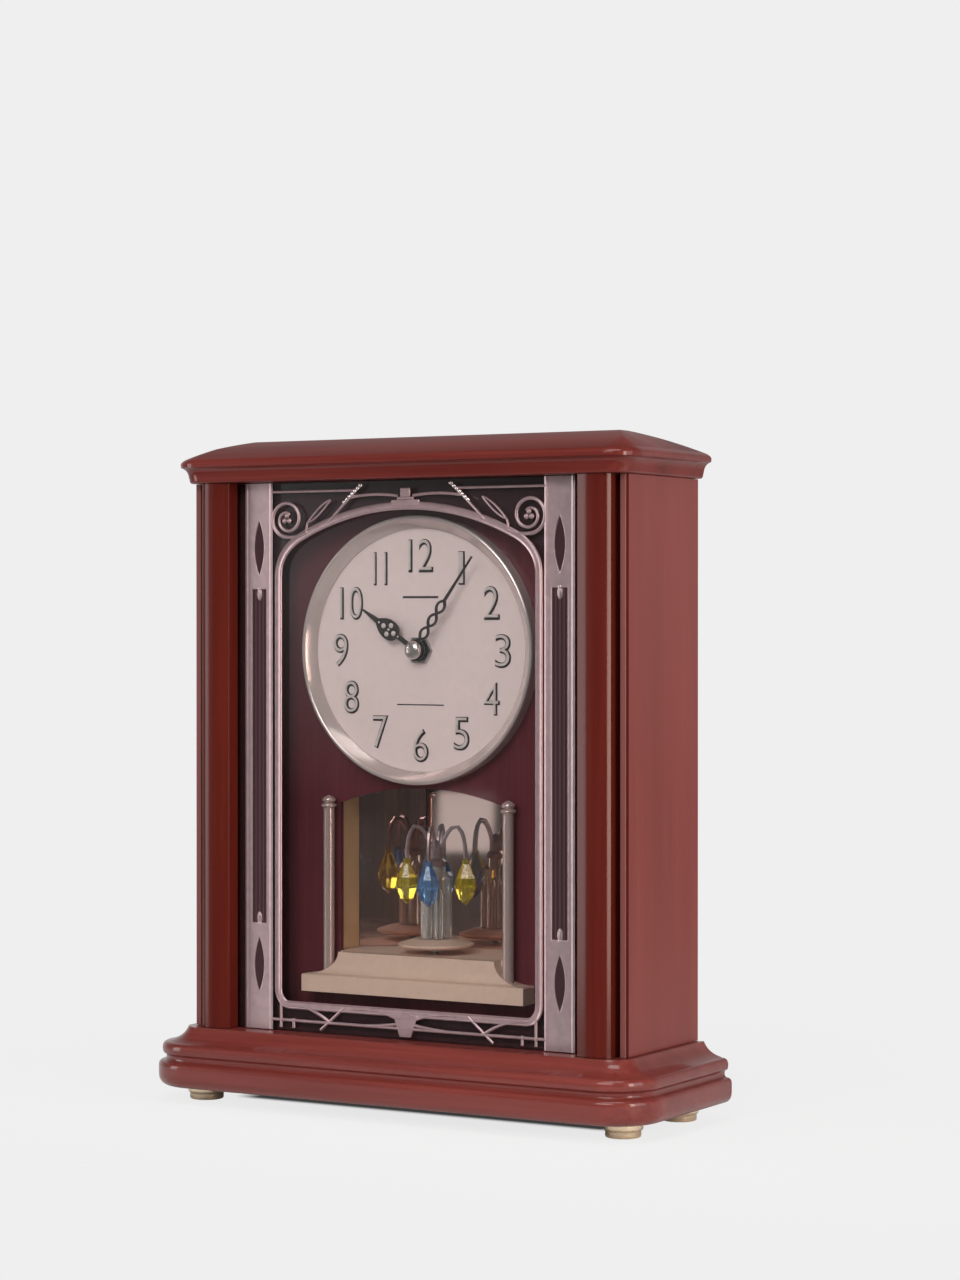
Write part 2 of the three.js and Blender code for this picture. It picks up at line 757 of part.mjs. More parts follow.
function buildDial() {
  const half = panelInside - seatGap;
  const board = rectangle(-half, half, innerBottom, innerTop);
  board.holes.push(nicheOutline(new THREE.Path()));
  board.holes.push(roundHole(0, dialHeight, bushRadius + runGap));
  add(clock, 'dial_board', frontPlate(board, boardSetback, boardBack, 12), 'darkBoard');

  const dial = new THREE.Group();
  dial.position.z = dialHeight;
  clock.add(dial);
  const dialRadius = bezelRadius - 0.8;
  const bezelInner = bezelRadius - bezelWidth;
  const plate = [
    [bushRadius + runGap, dialFace], [bezelInner - 9, dialFace], [bezelInner, dialFace - dialRimRise],
    [dialRadius, dialFace - dialRimRise], [dialRadius, dialBack], [bushRadius + runGap, dialBack],
    [bushRadius + runGap, dialFace],
  ];
  add(dial, 'dial_plate', turnedY(plate, 48), 'dialSilver');
  const bezelBack = dialFace - dialRimRise - seatGap;
  const bezelFront = dialBack - bezelHeight;
  const rim = bezelRadius - 0.5;
  const bezel = [
    [bezelInner, bezelBack], [bezelInner, bezelBack - 0.7], [bezelRadius - 2.2, bezelFront + 0.3],
    [bezelRadius - 1.5, bezelFront], [bezelRadius - 0.6, bezelFront + 0.4], [bezelRadius, bezelFront + 1.4],
    [bezelRadius, dialBack], [rim, dialBack], [rim, bezelBack], [bezelInner, bezelBack],
  ];
  add(dial, 'dial_bezel', turnedY(bezel, 48), 'silver');
  const nut = new THREE.Shape();
  for (let i = 0; i < 6; i += 1) {
    const angle = (i / 6) * fullTurn;
    const [x, z] = [nutRadius * Math.cos(angle), nutRadius * Math.sin(angle)];
    if (i === 0) nut.moveTo(x, z);
    else nut.lineTo(x, z);
  }
  nut.holes.push(roundHole(0, 0, bushRadius + runGap));
  add(dial, 'dial_nut', frontPlate(nut, nutFront, dialFace - seatGap, 6), 'steel');
  buildHands(dial);
  buildWheels(dial);
  buildMovement(dial);
}

// Pierced hands that point up as drawn and turn to the time shown
function hourHandShape() {
  const shoulder = 0.5 * hourHandLength;
  const wide = 4.6;
  const shape = new THREE.Shape();
  const opening = Math.asin(1.1 / handBossRadius);
  shape.absarc(0, 0, handBossRadius, Math.PI / 2 + opening, 2.5 * Math.PI - opening, false);
  shape.lineTo(1.1, shoulder - 5.5);
  shape.quadraticCurveTo(wide, shoulder - 4.5, wide, shoulder);
  shape.quadraticCurveTo(wide, shoulder + 4, 1.3, shoulder + 7.5);
  shape.lineTo(0.4, hourHandLength);
  shape.lineTo(-0.4, hourHandLength);
  shape.lineTo(-1.3, shoulder + 7.5);
  shape.quadraticCurveTo(-wide, shoulder + 4, -wide, shoulder);
  shape.quadraticCurveTo(-wide, shoulder - 4.5, -1.1, shoulder - 5.5);
  shape.holes.push(roundHole(0, 0, pipeRadius + runGap));
  for (const [x, z] of [[-2.3, 0], [2.3, 0], [0, -3], [0, 3.4]]) {
    shape.holes.push(roundHole(x, shoulder + z, 1.15));
  }
  return shape;
}

function minuteHandShape() {
  const ovals = 3;
  const ovalLength = 7.4;
  const ovalWidth = 2.5;
  const start = handBossRadius + 0.8;
  const neck = 0.7;
  const shape = new THREE.Shape();
  const opening = Math.asin(neck / (handBossRadius - 0.6));
  shape.absarc(0, 0, handBossRadius - 0.6, Math.PI / 2 + opening, 2.5 * Math.PI - opening, false);
  const needle = start + ovals * ovalLength;
  for (let i = 0; i < ovals; i += 1) {
    const z = start + i * ovalLength;
    shape.lineTo(neck, z);
    shape.quadraticCurveTo(2 * ovalWidth - neck, z + ovalLength / 2, neck, z + ovalLength);
    const hole = lens(new THREE.Path(), 0, z + ovalLength / 2, 2 * (ovalWidth - 1), ovalLength - 2.2);
    shape.holes.push(hole);
  }
  shape.lineTo(0.3, minuteHandLength);
  shape.lineTo(-0.3, minuteHandLength);
  shape.lineTo(-neck, needle);
  for (let i = ovals - 1; i >= 0; i -= 1) {
    const z = start + i * ovalLength;
    shape.quadraticCurveTo(neck - 2 * ovalWidth, z + ovalLength / 2, -neck, z);
  }
  shape.holes.push(roundHole(0, 0, arborRadius + runGap));
  return shape;
}

function buildHands(dial) {
  const hourBack = hourFront + handThickness;
  const minuteBack = minuteFront + handThickness;
  const minuteAngle = (shownMinute / 60) * fullTurn;
  const hourAngle = ((shownHour + shownMinute / 60) / 12) * fullTurn;
  const hour = new THREE.Group();
  hour.rotation.y = hourAngle;
  dial.add(hour);
  add(hour, 'hour_hand', frontPlate(hourHandShape(), hourFront, hourBack, 5), 'handBlack');
  const minute = new THREE.Group();
  minute.rotation.y = minuteAngle;
  dial.add(minute);
  add(minute, 'minute_hand', frontPlate(minuteHandShape(), minuteFront, minuteBack, 5), 'handBlack');
  const capBack = minuteFront - seatGap;
  const cap = [
    [0, capBack], [capRadius, capBack], [capRadius, capBack - 0.5],
    [0.86 * capRadius, capFront + 0.36 * capHeight], [0.5 * capRadius, capFront + 0.1 * capHeight],
    [0, capFront],
  ];
  add(minute, 'hand_cap', turnedY(cap, 24), 'silver');
}

// Motion work: the hour wheel on its pipe, the minute arbor inside it and the wheels beside them
function buildWheels(dial) {
  const wheelFront = movementFront + movementWall + runGap;
  const hourWheelBack = wheelFront + wheelThickness;
  const cannonFront = hourWheelBack + runGap;
  const cannonBack = cannonFront + 1.75 * wheelThickness;
  const centreFront = cannonBack + runGap;
  const centreBack = centreFront + wheelThickness;
  const rearEnd = movementBack - runGap;
  const upright = Math.PI / 2;
  const gear = (teeth, module, turn, y0, y1) => frontPlate(gearShape(teeth, module, turn), y0, y1);

  const hourGear = gear(hourWheelTeeth, motionModule, upright, wheelFront, hourWheelBack);
  const pipe = pinY(pipeRadius, hourFront, hourWheelBack, 20);
  const pipeHole = pinY(pipeBore, hourFront - 1, hourWheelBack + 1, 20);
  add(dial, 'hour_wheel', cut(joined(hourGear, pipe), pipeHole), 'brass');
  const cannon = gear(cannonTeeth, motionModule, upright, cannonFront, cannonBack);
  const centre = gear(centreWheelTeeth, trainModule, Math.PI, centreFront, centreBack);
  const arbor = pinY(arborRadius, minuteFront + seatGap, rearEnd, 20);
  add(dial, 'minute_arbor', joined(arbor, cannon, centre), 'steel');

  // Minute wheel above the centre, with the setting stem that runs out to the back
  const coverBack = movementBack + seatGap + coverThickness;
  const stemEnd = coverBack + knobStandoff + knobHeight / 2;
  const minuteFace = cannonFront + runGap;
  const wheelTurn = -upright + Math.PI / minuteWheelTeeth;
  const pinionTurn = -upright + Math.PI / minutePinionTeeth;
  const wheelGear = gear(minuteWheelTeeth, motionModule, wheelTurn, minuteFace, minuteFace + wheelThickness);
  const pinionGear = gear(minutePinionTeeth, motionModule, pinionTurn, wheelFront, minuteFace + seatGap);
  const stem = pinY(stemRadius, wheelFront, stemEnd, 14);
  add(dial, 'minute_wheel', joined(stem, pinionGear, wheelGear).translate(0, 0, stemRise), 'brass');
  const knobFront = coverBack + knobStandoff;
  const knobHole = stemRadius + runGap;
  const grip = [
    [knobHole, knobFront], [knobRadius - 1.5, knobFront], [knobRadius, knobFront + 1.2],
    [knobRadius, knobFront + knobHeight - 1], [knobRadius - 0.9, knobFront + knobHeight],
    [0, knobFront + knobHeight], [0, stemEnd + runGap], [knobHole, stemEnd + runGap], [knobHole, knobFront],
  ];
  add(dial, 'set_knob', turnedY(grip, 18).translate(0, 0, stemRise), 'whitePlastic');

  // Driven pinion beside the centre wheel, on a shaft that comes out of the sealed motor unit
  const driveTurn = Math.PI / drivePinionTeeth;
  const driveFace = centreFront - seatGap;
  const driveGear = gear(drivePinionTeeth, trainModule, driveTurn, driveFace, centreBack + seatGap);
  const unitFront = rearEnd - unitDepth;
  const shaftEnd = unitFront + 0.6 * unitDepth;
  const shaft = pinY(driveShaftRadius, driveFace - seatGap, shaftEnd, 12);
  add(dial, 'drive_pinion', joined(driveGear, shaft).translate(-driveAside, 0, 0), 'steel');
  const unitLeft = movementWall + seatGap - movementWidth / 2;
  const unitRight = -arborRadius - unitFromTop / 2;
  const unitTop = movementTop - movementWall - unitFromTop;
  const unit = block(unitLeft, unitRight, unitFront, rearEnd, -unitBelowCentre, unitTop);
  const unitHole = pinY(driveShaftRadius + runGap, unitFront - 1, shaftEnd + runGap, 12);
  add(dial, 'step_motor', cut(unit, unitHole.translate(-driveAside, 0, 0)), 'plastic');
}

// Movement case with its bush through the dial, the cover over the wheels and the open cell bay
function buildMovement(dial) {
  const half = movementWidth / 2;
  const inside = half - movementWall;
  const insideFront = movementFront + movementWall;
  const outer = block(-half, half, movementFront, movementBack, movementBottom, movementTop);
  const roomBottom = bayTop + movementWall;
  const room = block(-inside, inside, insideFront, movementBack + 1, roomBottom, movementTop - movementWall);
  const bayBottom = movementBottom + movementWall;
  const bay = block(-inside, inside, insideFront, movementBack + 1, bayBottom, bayTop);
  const bush = pinY(bushRadius, nutFront, movementFront + movementWall / 2, 24);
  const bushHole = pinY(bushBore, nutFront - 1, insideFront + 1, 24);
  add(dial, 'movement_case', cut(joined(outer, bush), room, bay, bushHole), 'plastic');
  const coverFront = movementBack + seatGap;
  const cover = rectangle(-half, half, bayTop, movementTop);
  cover.holes.push(roundHole(0, stemRise, stemRadius + runGap));
  add(dial, 'movement_cover', frontPlate(cover, coverFront, coverFront + coverThickness, 5), 'plastic');
  const nub = 2.75;
  const nubLength = 1;
  const shoulder = cellLength - nubLength;
  const cell = turnedZ([
    [0, 0], [cellRadius - 0.6, 0], [cellRadius, 0.6], [cellRadius, shoulder - 0.6],
    [cellRadius - 0.6, shoulder], [nub, shoulder], [nub, cellLength], [0, cellLength],
  ], 20);
  cell.rotateY(Math.PI / 2);
  cell.translate(-cellLength / 2, insideFront + runGap + cellRadius, bayBottom + runGap + cellRadius);
  add(dial, 'battery_cell', cell, 'cellBody');
}

// Niche behind the board: walls, three mirrors, floor and ceiling
function buildNiche() {
  const wallIn = nicheHalfWidth + nicheWallSetOut;
  const wallFront = boardBack + seatGap;
  const wallBack = boardBack + nicheWallDepth;
  const mirrorBack = nicheBack - floorMargin / 2 - mirrorThickness;
  const bottom = nicheFloor + seatGap;
  const top = nicheCeiling - seatGap;
  const leafHalf = mirrorBackWidth / 2;
  for (const [side, sign] of sides) {
    const [x0, x1] = [sign * wallIn, sign * (wallIn + mirrorThickness)].sort((a, b) => a - b);
    add(clock, `niche_wall_${side}`, block(x0, x1, wallFront, wallBack, bottom, top), 'bronzeMirror');
    const start = new THREE.Vector2(sign * wallIn, wallBack + 2 * seatGap);
    const end = new THREE.Vector2(sign * (leafHalf + 2 * seatGap), mirrorBack - 2 * seatGap);
    const along = end.clone().sub(start).normalize();
    const away = new THREE.Vector2(sign * along.y, -sign * along.x).multiplyScalar(mirrorThickness);
    const leaf = new THREE.Shape([start, end, end.clone().add(away), start.clone().add(away)]);
    add(clock, `niche_mirror_${side}`, planPlate(leaf, bottom, top), 'mirror');
  }
  const back = block(-leafHalf, leafHalf, mirrorBack, mirrorBack + mirrorThickness, bottom, top);
  add(clock, 'niche_mirror_back', back, 'mirror');
  const wide = wallIn + mirrorThickness + floorMargin;
  const tongue = nicheHalfWidth - seatGap;
  const floor = new THREE.Shape(points2([
    [-tongue, boardSetback], [tongue, boardSetback], [tongue, wallFront], [wide, wallFront],
    [wide, nicheBack], [-wide, nicheBack], [-wide, wallFront], [-tongue, wallFront],
  ]));
  floor.holes.push(roundHole(0, pendulumDepth, spindleRadius + runGap));
  add(clock, 'niche_floor', planPlate(floor, nicheFloor - floorThickness, nicheFloor, 5), 'champagne');
  const ceiling = block(-wide, wide, wallFront, nicheBack, nicheCeiling, nicheCeiling + floorThickness);
  add(clock, 'niche_ceiling', ceiling, 'blackBoard');
}

// Sill in front of the niche: a plain fascia, a ledge and a hollow slope with mitred ends
function buildSill() {
  const front = glassBack + sillFromGlass;
  const back = boardSetback - seatGap;
  const bottom = nicheFloor - sillDrop;
  const ledge = bottom + fasciaHeight;
  const sillHalfWidth = nicheHalfWidth + sillBeyondNiche;
  const ring = (inset, setback, z) => {
    const half = sillHalfWidth - inset;
    const corners = [[-half, front + setback], [half, front + setback], [half, back], [-half, back]];
    return corners.map(([x, y]) => new THREE.Vector3(x, y, z));
  };
  const rings = [ring(0, 0, bottom), ring(0, 0, ledge), ring(sillLedge, sillLedge, ledge + 0.5)];
  const steps = 6;
  for (let i = 1; i <= steps; i += 1) {
    const share = Math.sin(((i / steps) * Math.PI) / 2);
    const rise = 1 - Math.cos(((i / steps) * Math.PI) / 2);
    const inset = sillLedge + (sillTopInset - sillLedge) * share;
    const z = ledge + 0.5 + (nicheFloor - ledge - 0.5) * rise;
    rings.push(ring(inset, sillLedge + sillSlopeDepth * share, z));
  }
  const postX = nicheHalfWidth + postFromNiche;
  const postY = boardSetback - postAhead;
  const socketBottom = nicheFloor - postSocketDepth;
  const postTop = nicheShoulder + postOverShoulder;
  const sockets = sides.map(([, sign]) => (
    pinZ(postRadius + runGap, socketBottom, postTop, 16).translate(sign * postX, postY, 0)
  ));
  add(clock, 'stage_sill', cut(loft(rings), ...sockets), 'champagne');
  for (const [side, sign] of sides) {
    const foot = socketBottom + runGap;
    const post = turnedZ([
      [0, foot], [postRadius, foot], [postRadius, postTop - 6], [postRadius + 1, postTop - 5.4],
      [postRadius + 1, postTop - 4.4], [postRadius - 0.6, postTop - 3.6], [postRadius + 0.6, postTop - 2.4],
      [postRadius + 0.2, postTop - 1], [0, postTop],
    ], 16);
    add(clock, `sill_post_${side}`, post.translate(sign * postX, postY, 0), 'silver');
  }
}

// Rotating pendulum: its heights share the room between the niche floor and the headroom
function buildPendulum() {
  const pendulum = new THREE.Group();
  pendulum.position.set(0, pendulumDepth, 0);
  clock.add(pendulum);
  const bore = spindleRadius + runGap;
  const collarRadius = 4;
  const collarBottom = nicheFloor + pendulumLift / 2;
  const baseBottom = nicheFloor + pendulumLift + seatGap;
  const baseTop = baseBottom + pendulumBaseHeight;
  const room = nicheArchTop - pendulumHeadroom - baseTop;
  const columnBottom = baseTop + seatGap;
  const columnHeight = 0.63 * room;
  const columnTop = columnBottom + columnHeight;
  const crownBottom = columnTop + seatGap;
  const crownHeight = 0.15 * room;
  const crownTop = crownBottom + crownHeight;
  const spindleBottom = gearBottom - motorFromGear - 2;
  const spindleTop = crownTop - 2;
  const spindle = turnedZ([
    [0, spindleBottom], [spindleRadius, spindleBottom], [spindleRadius, collarBottom],
    [collarRadius, collarBottom], [collarRadius, baseBottom - seatGap], [spindleRadius, baseBottom - seatGap],
    [spindleRadius, spindleTop], [0, spindleTop],
  ], 16);
  const gear = planPlate(gearShape(pendulumGearTeeth, pendulumModule, 0), gearBottom, gearTop);
  add(pendulum, 'pendulum_spindle', joined(spindle, gear), 'steel');
  const base = [
    [bore, baseBottom], [pendulumBaseRadius - 2, baseBottom], [pendulumBaseRadius, baseBottom + 1],
    [pendulumBaseRadius, baseBottom + 0.45 * pendulumBaseHeight], [pendulumBaseRadius - 3, baseTop - 1.2],
    [0.6 * pendulumBaseRadius, baseTop], [bore, baseTop], [bore, baseBottom],
  ];
  add(pendulum, 'pendulum_base', turnedZ(base, 28), 'champagne');
  // Cut crystal: a core on the spindle with pointed rods of two heights grown round it
  const coreRadius = 0.54 * columnRadius;
  const core = turnedZ([
    [bore, columnBottom], [coreRadius, columnBottom], [coreRadius, columnTop], [bore, columnTop],
    [bore, columnBottom],
  ], 8);
  const rodRadius = 0.35 * columnRadius;
  const rods = [];
  for (let i = 0; i < rodCount; i += 1) {
    const rodTop = columnBottom + (i % 2 ? 0.74 : 0.94) * columnHeight;
    const rod = turnedZ([
      [0, columnBottom], [rodRadius, columnBottom], [rodRadius, rodTop - 1.6 * rodRadius], [0, rodTop],
    ], 6);
    rods.push(rod.translate(columnRadius - rodRadius, 0, 0).rotateZ(((i + 0.25) / rodCount) * fullTurn));
  }
  add(pendulum, 'crystal_column', joined(core, ...rods), 'clearCrystal');

  // Crown of curved arms that carry the drops
  const hub = turnedZ([
    [0, crownBottom], [4.4, crownBottom], [4.4, crownBottom + 2], [3, crownBottom + 3.4], [3, crownTop],
    [1.6, crownTop + 3], [0, crownTop + 4],
  ], 16);
  const hubHole = pinZ(bore, crownBottom - 1, spindleTop + runGap, 16);
  const section = new THREE.Shape().absarc(0, 0, armRadius, 0, fullTurn, false);
  const armStart = crownTop - 1.5;
  const armEnd = crownBottom + 0.4 * crownHeight;
  const armPeak = nicheArchTop - pendulumHeadroom - armRadius;
  const armControl = (armPeak - (armStart + armEnd) / 8) / 0.75;
  const dropAngle = (i) => ((i + 1.18) / dropCount) * fullTurn;
  const arms = [];
  for (let i = 0; i < dropCount; i += 1) {
    const path = new THREE.CubicBezierCurve3(
      new THREE.Vector3(2, 0, armStart),
      new THREE.Vector3(0.45 * pendulumReach, 0, armControl),
      new THREE.Vector3(pendulumReach, 0, armControl),
      new THREE.Vector3(pendulumReach, 0, armEnd),
    );
    const arm = new THREE.ExtrudeGeometry(section, { steps: 10, extrudePath: path, curveSegments: 3 });
    arms.push(arm.rotateZ(dropAngle(i)));
  }
  add(pendulum, 'pendulum_crown', cut(joined(hub, ...arms), hubHole), 'silver');
  const dropTop = armEnd - runGap;
  const dropLength = 0.4 * room;
  const dropBottom = dropTop - dropLength;
  for (let i = 0; i < dropCount; i += 1) {
    const drop = turnedZ([
      [0, dropBottom], [0.62 * dropRadius, dropBottom + 0.14 * dropLength],
      [dropRadius, dropBottom + 0.4 * dropLength], [0.86 * dropRadius, dropBottom + 0.6 * dropLength],
      [0.34 * dropRadius, dropTop - 0.1 * dropLength], [0.3 * dropRadius, dropTop], [0, dropTop],
    ], 8);
    drop.translate(pendulumReach * Math.cos(dropAngle(i)), pendulumReach * Math.sin(dropAngle(i)), 0);
    add(pendulum, `crystal_drop_${i + 1}`, drop, i % 2 ? 'amberCrystal' : 'blueCrystal');
  }
  buildDrive(pendulum, spindleBottom);
}

// Motor and gear case under the niche floor
function buildDrive(pendulum, spindleBottom) {
  const shaftBottom = motorTop - 0.3 * motorHeight;
  const turn = Math.PI + Math.PI / motorPinionTeeth;
  const pinionShape = gearShape(motorPinionTeeth, pendulumModule, turn);
  const pinion = planPlate(pinionShape, gearBottom - 2 * seatGap, gearTop + 2 * seatGap);
  const shaft = pinZ(motorShaftRadius, shaftBottom, gearBottom, 10);
  add(pendulum, 'motor_pinion', joined(pinion, shaft).translate(motorAside, 0, 0), 'brass');
  const boss = 2.4;
  const bossHeight = 0.6;
  const can = turnedZ([
    [0, motorBottom], [motorRadius, motorBottom], [motorRadius, motorTop - 1.4],
    [motorRadius - 1.2, motorTop - bossHeight], [boss, motorTop - bossHeight], [boss, motorTop],
    [0, motorTop],
  ], 20);
  const shaftHole = pinZ(motorShaftRadius + runGap, shaftBottom - runGap, motorTop + 1, 10);
  add(pendulum, 'pendulum_motor', cut(can, shaftHole).translate(motorAside, 0, 0), 'steel');
  const right = motorAside + motorRadius + runGap;
  const reach = gearReach;
  const top = nicheFloor - floorThickness - seatGap;
  const wall = driveWall;
  const shell = block(-reach - wall, right + wall, -reach - wall, reach + wall, driveBottom, top);
  const room = block(-reach, right, -reach, reach, driveBottom + driveFloor, top + 1);
  const pivotRadius = spindleRadius + pivotWall;
  const pillar = pinZ(pivotRadius, driveBottom + driveFloor / 2, spindleBottom - runGap, 12);
  add(pendulum, 'drive_case', joined(cut(shell, room), pillar), 'plastic');
}

// Back board with its hinged access door
function buildBack() {
  const half = panelInside - seatGap;
  const doorHalf = doorWidth / 2;
  const board = rectangle(-half, half, innerBottom, innerTop);
  const opening = new THREE.Path(points2([
    [-doorHalf - doorGap, doorBottom - doorGap], [doorHalf + doorGap, doorBottom - doorGap],
    [doorHalf + doorGap, doorTop + doorGap], [-doorHalf - doorGap, doorTop + doorGap],
  ]));
  board.holes.push(opening);
  add(clock, 'back_board', frontPlate(board, backFront, backOuter), 'blackBoard');
  const door = block(-doorHalf, doorHalf, backFront, backOuter, doorBottom, doorTop);
  add(clock, 'rear_door', door, 'blackBoard');
  const axisX = -doorHalf - doorGap / 2;
  const axisY = backOuter + seatGap + knuckleRadius;
  const leafFront = backOuter + seatGap;
  const leafBack = leafFront + hingeLeafThickness;
  const third = hingeLength / 3;
  const reach = knuckleRadius + runGap;
  const places = [['lower', doorBottom + hingeInset], ['upper', doorTop - hingeInset]];
  for (const [name, middle] of places) {
    const low = middle - hingeLength / 2;
    const high = low + hingeLength;
    const knuckle = (z0, z1) => pinZ(knuckleRadius, z0, z1, 14).translate(axisX, axisY, 0);
    const frameLeaf = joined(
      block(axisX - hingeLeafWidth, axisX - reach, leafFront, leafBack, low, high),
      block(axisX - reach - 1, axisX, leafFront, leafBack, low, low + third),
      block(axisX - reach - 1, axisX, leafFront, leafBack, high - third, high),
      knuckle(low, low + third),
      knuckle(high - third, high),
      pinZ(hingePinRadius, low, high, 14).translate(axisX, axisY, 0),
    );
    add(clock, `hinge_frame_leaf_${name}`, frameLeaf, 'brass');
    const [z0, z1] = [low + third + runGap, high - third - runGap];
    const doorLeaf = cut(
      joined(
        block(axisX + reach, axisX + hingeLeafWidth, leafFront, leafBack, low, high),
        block(axisX, axisX + reach + 1, leafFront, leafBack, z0, z1),
        knuckle(z0, z1),
      ),
      pinZ(hingePinRadius + runGap, low - 1, high + 1, 14).translate(axisX, axisY, 0),
    );
    add(clock, `hinge_door_leaf_${name}`, doorLeaf, 'brass');
  }
  const doorMiddle = (doorBottom + doorTop) / 2;
  const knob = turnedY([
    [0, 0], [0.55 * doorKnobRadius, 0], [0.5 * doorKnobRadius, 0.3 * doorKnobHeight],
    [doorKnobRadius, 0.6 * doorKnobHeight], [0.9 * doorKnobRadius, 0.85 * doorKnobHeight],
    [0.5 * doorKnobRadius, doorKnobHeight], [0, doorKnobHeight],
  ], 20);
  knob.translate(doorHalf - doorKnobInset, backOuter + seatGap, doorMiddle);
  add(clock, 'door_knob', knob, 'brass');
  const catchLeft = doorHalf - catchLap;
  const catchBack = backFront - seatGap;
  const magnet = block(
    catchLeft, catchLeft + catchWidth, catchBack - catchThickness, catchBack,
    doorMiddle - catchHeight / 2, doorMiddle + catchHeight / 2,
  );
  add(clock, 'door_magnet', magnet, 'plastic');
}

buildCase();
buildGlassFront();
buildDial();
buildNiche();
buildSill();
buildPendulum();
buildBack();

// Stand the clock over the middle of its footprint
const front = -columnProud - plinthProjection;
clock.position.y = -(front + bodyDepth) / 2;

export default clock;
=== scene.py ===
import json
import math

import bmesh
import bpy
import numpy as np
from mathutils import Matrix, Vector


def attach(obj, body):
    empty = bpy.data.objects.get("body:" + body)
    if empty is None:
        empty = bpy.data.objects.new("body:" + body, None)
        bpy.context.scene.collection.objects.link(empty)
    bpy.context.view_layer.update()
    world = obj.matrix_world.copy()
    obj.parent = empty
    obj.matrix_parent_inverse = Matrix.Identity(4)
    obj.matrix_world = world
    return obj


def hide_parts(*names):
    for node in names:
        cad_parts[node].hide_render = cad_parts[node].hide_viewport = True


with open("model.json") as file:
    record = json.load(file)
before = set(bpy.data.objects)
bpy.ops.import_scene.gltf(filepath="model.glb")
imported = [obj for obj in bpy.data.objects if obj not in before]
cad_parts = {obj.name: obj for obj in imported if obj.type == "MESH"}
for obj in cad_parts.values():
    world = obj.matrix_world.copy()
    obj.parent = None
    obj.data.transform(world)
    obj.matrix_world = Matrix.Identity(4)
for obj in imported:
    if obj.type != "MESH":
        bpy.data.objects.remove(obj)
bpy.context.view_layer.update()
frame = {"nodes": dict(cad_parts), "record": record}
nodes = frame["nodes"]
print("frame loaded:", len(nodes), "nodes")

# Shapes are worked out in millimetres and put into the mesh in metres

def smoothed(mesh, angle):
    mesh.polygons.foreach_set("use_smooth", np.ones(len(mesh.polygons), dtype=bool))
    mesh.set_sharp_from_angle(angle=math.radians(angle))
    mesh.update()


def outward(mesh):
    shell = bmesh.new()
    shell.from_mesh(mesh)
    bmesh.ops.remove_doubles(shell, verts=shell.verts, dist=1e-7)
    bmesh.ops.recalc_face_normals(shell, faces=shell.faces)
    shell.to_mesh(mesh)
    shell.free()


def gridFaces(rows, columns, closeRows=False, closeColumns=False):
    i = np.arange(rows if closeRows else rows - 1)[:, None]
    j = np.arange(columns if closeColumns else columns - 1)[None, :]
    below = (i + 1) % rows
    beside = (j + 1) % columns
    corners = [i * columns + j, below * columns + j, below * columns + beside, i * columns + beside]
    return np.stack(np.broadcast_arrays(*corners), axis=-1).reshape(-1, 4)


# grid[i, j] is a point of the surface; closed rows or columns join back on themselves and caps close the ends
def surface(name, grid, finish, body, closeRows=False, closeColumns=False, caps=False, angle=35):
    grid = np.asarray(grid, dtype=float)
    rows, columns = grid.shape[:2]
    faces = gridFaces(rows, columns, closeRows, closeColumns).tolist()
    if caps:
        faces.append(list(range(columns)))
        faces.append(list(range((rows - 1) * columns, rows * columns)))
    return piece(name, grid.reshape(-1, 3), faces, finish, body, angle)


def piece(name, points, faces, finish, body, angle):
    mesh = bpy.data.meshes.new(name)
    mesh.from_pydata((np.asarray(points) * 0.001).tolist(), [], faces)
    outward(mesh)
    smoothed(mesh, angle)
    return placed(name, mesh, finish, body)


def placed(name, mesh, finish, body):
    mesh.materials.clear()
    mesh.materials.append(finish)
    shown = bpy.data.objects.new(name, mesh)
    bpy.context.scene.collection.objects.link(shown)
    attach(shown, body)
    return shown


# A drawn line: pairs are straight moves, fours are quadratic bends and sixes cubic ones, each end last
def drawn(start, *moves, steps=10):
    line = [np.array([start], dtype=float)]
    t = np.linspace(0, 1, steps + 1)[1:, None]
    for move in moves:
        a = line[-1][-1]
        ends = np.array(move, dtype=float).reshape(-1, 2)
        if len(ends) == 1:
            line.append(ends)
        elif len(ends) == 2:
            line.append((1 - t) ** 2 * a + 2 * t * (1 - t) * ends[0] + t ** 2 * ends[1])
        else:
            bend = (1 - t) ** 3 * a + 3 * t * (1 - t) ** 2 * ends[0]
            line.append(bend + 3 * t ** 2 * (1 - t) * ends[1] + t ** 3 * ends[2])
    return np.concatenate(line)


# A profile of radius and distance turned round an axis through the centre
def turned(profile, centre, axis, segments):
    around = np.linspace(0, 2 * np.pi, segments, endpoint=False)[None, :]
    radius = np.maximum(profile[:, 0], 1e-4)[:, None]
    side, other = radius * np.cos(around), radius * np.sin(around)
    along = np.broadcast_to(profile[:, 1][:, None], side.shape)
    order = {"y": (side, along, other), "z": (side, other, along)}[axis]
    return np.stack(order, axis=-1) + np.array(centre, dtype=float)


# An outline in plan carried straight up from one height to another
def raised(outline, low, high):
    flat = np.column_stack([outline, np.zeros(len(outline))])
    return np.stack([flat + [0, 0, low], flat + [0, 0, high]])


# Even steps along a drawn line
def evenly(line, count, closed=False):
    line = np.vstack([line, line[:1]]) if closed else line
    steps = np.hypot(*np.diff(line, axis=0).T)
    far = np.concatenate([[0], np.cumsum(steps)])
    at = np.linspace(0, far[-1], count, endpoint=not closed)
    return np.column_stack([np.interp(at, far, line[:, 0]), np.interp(at, far, line[:, 1])])


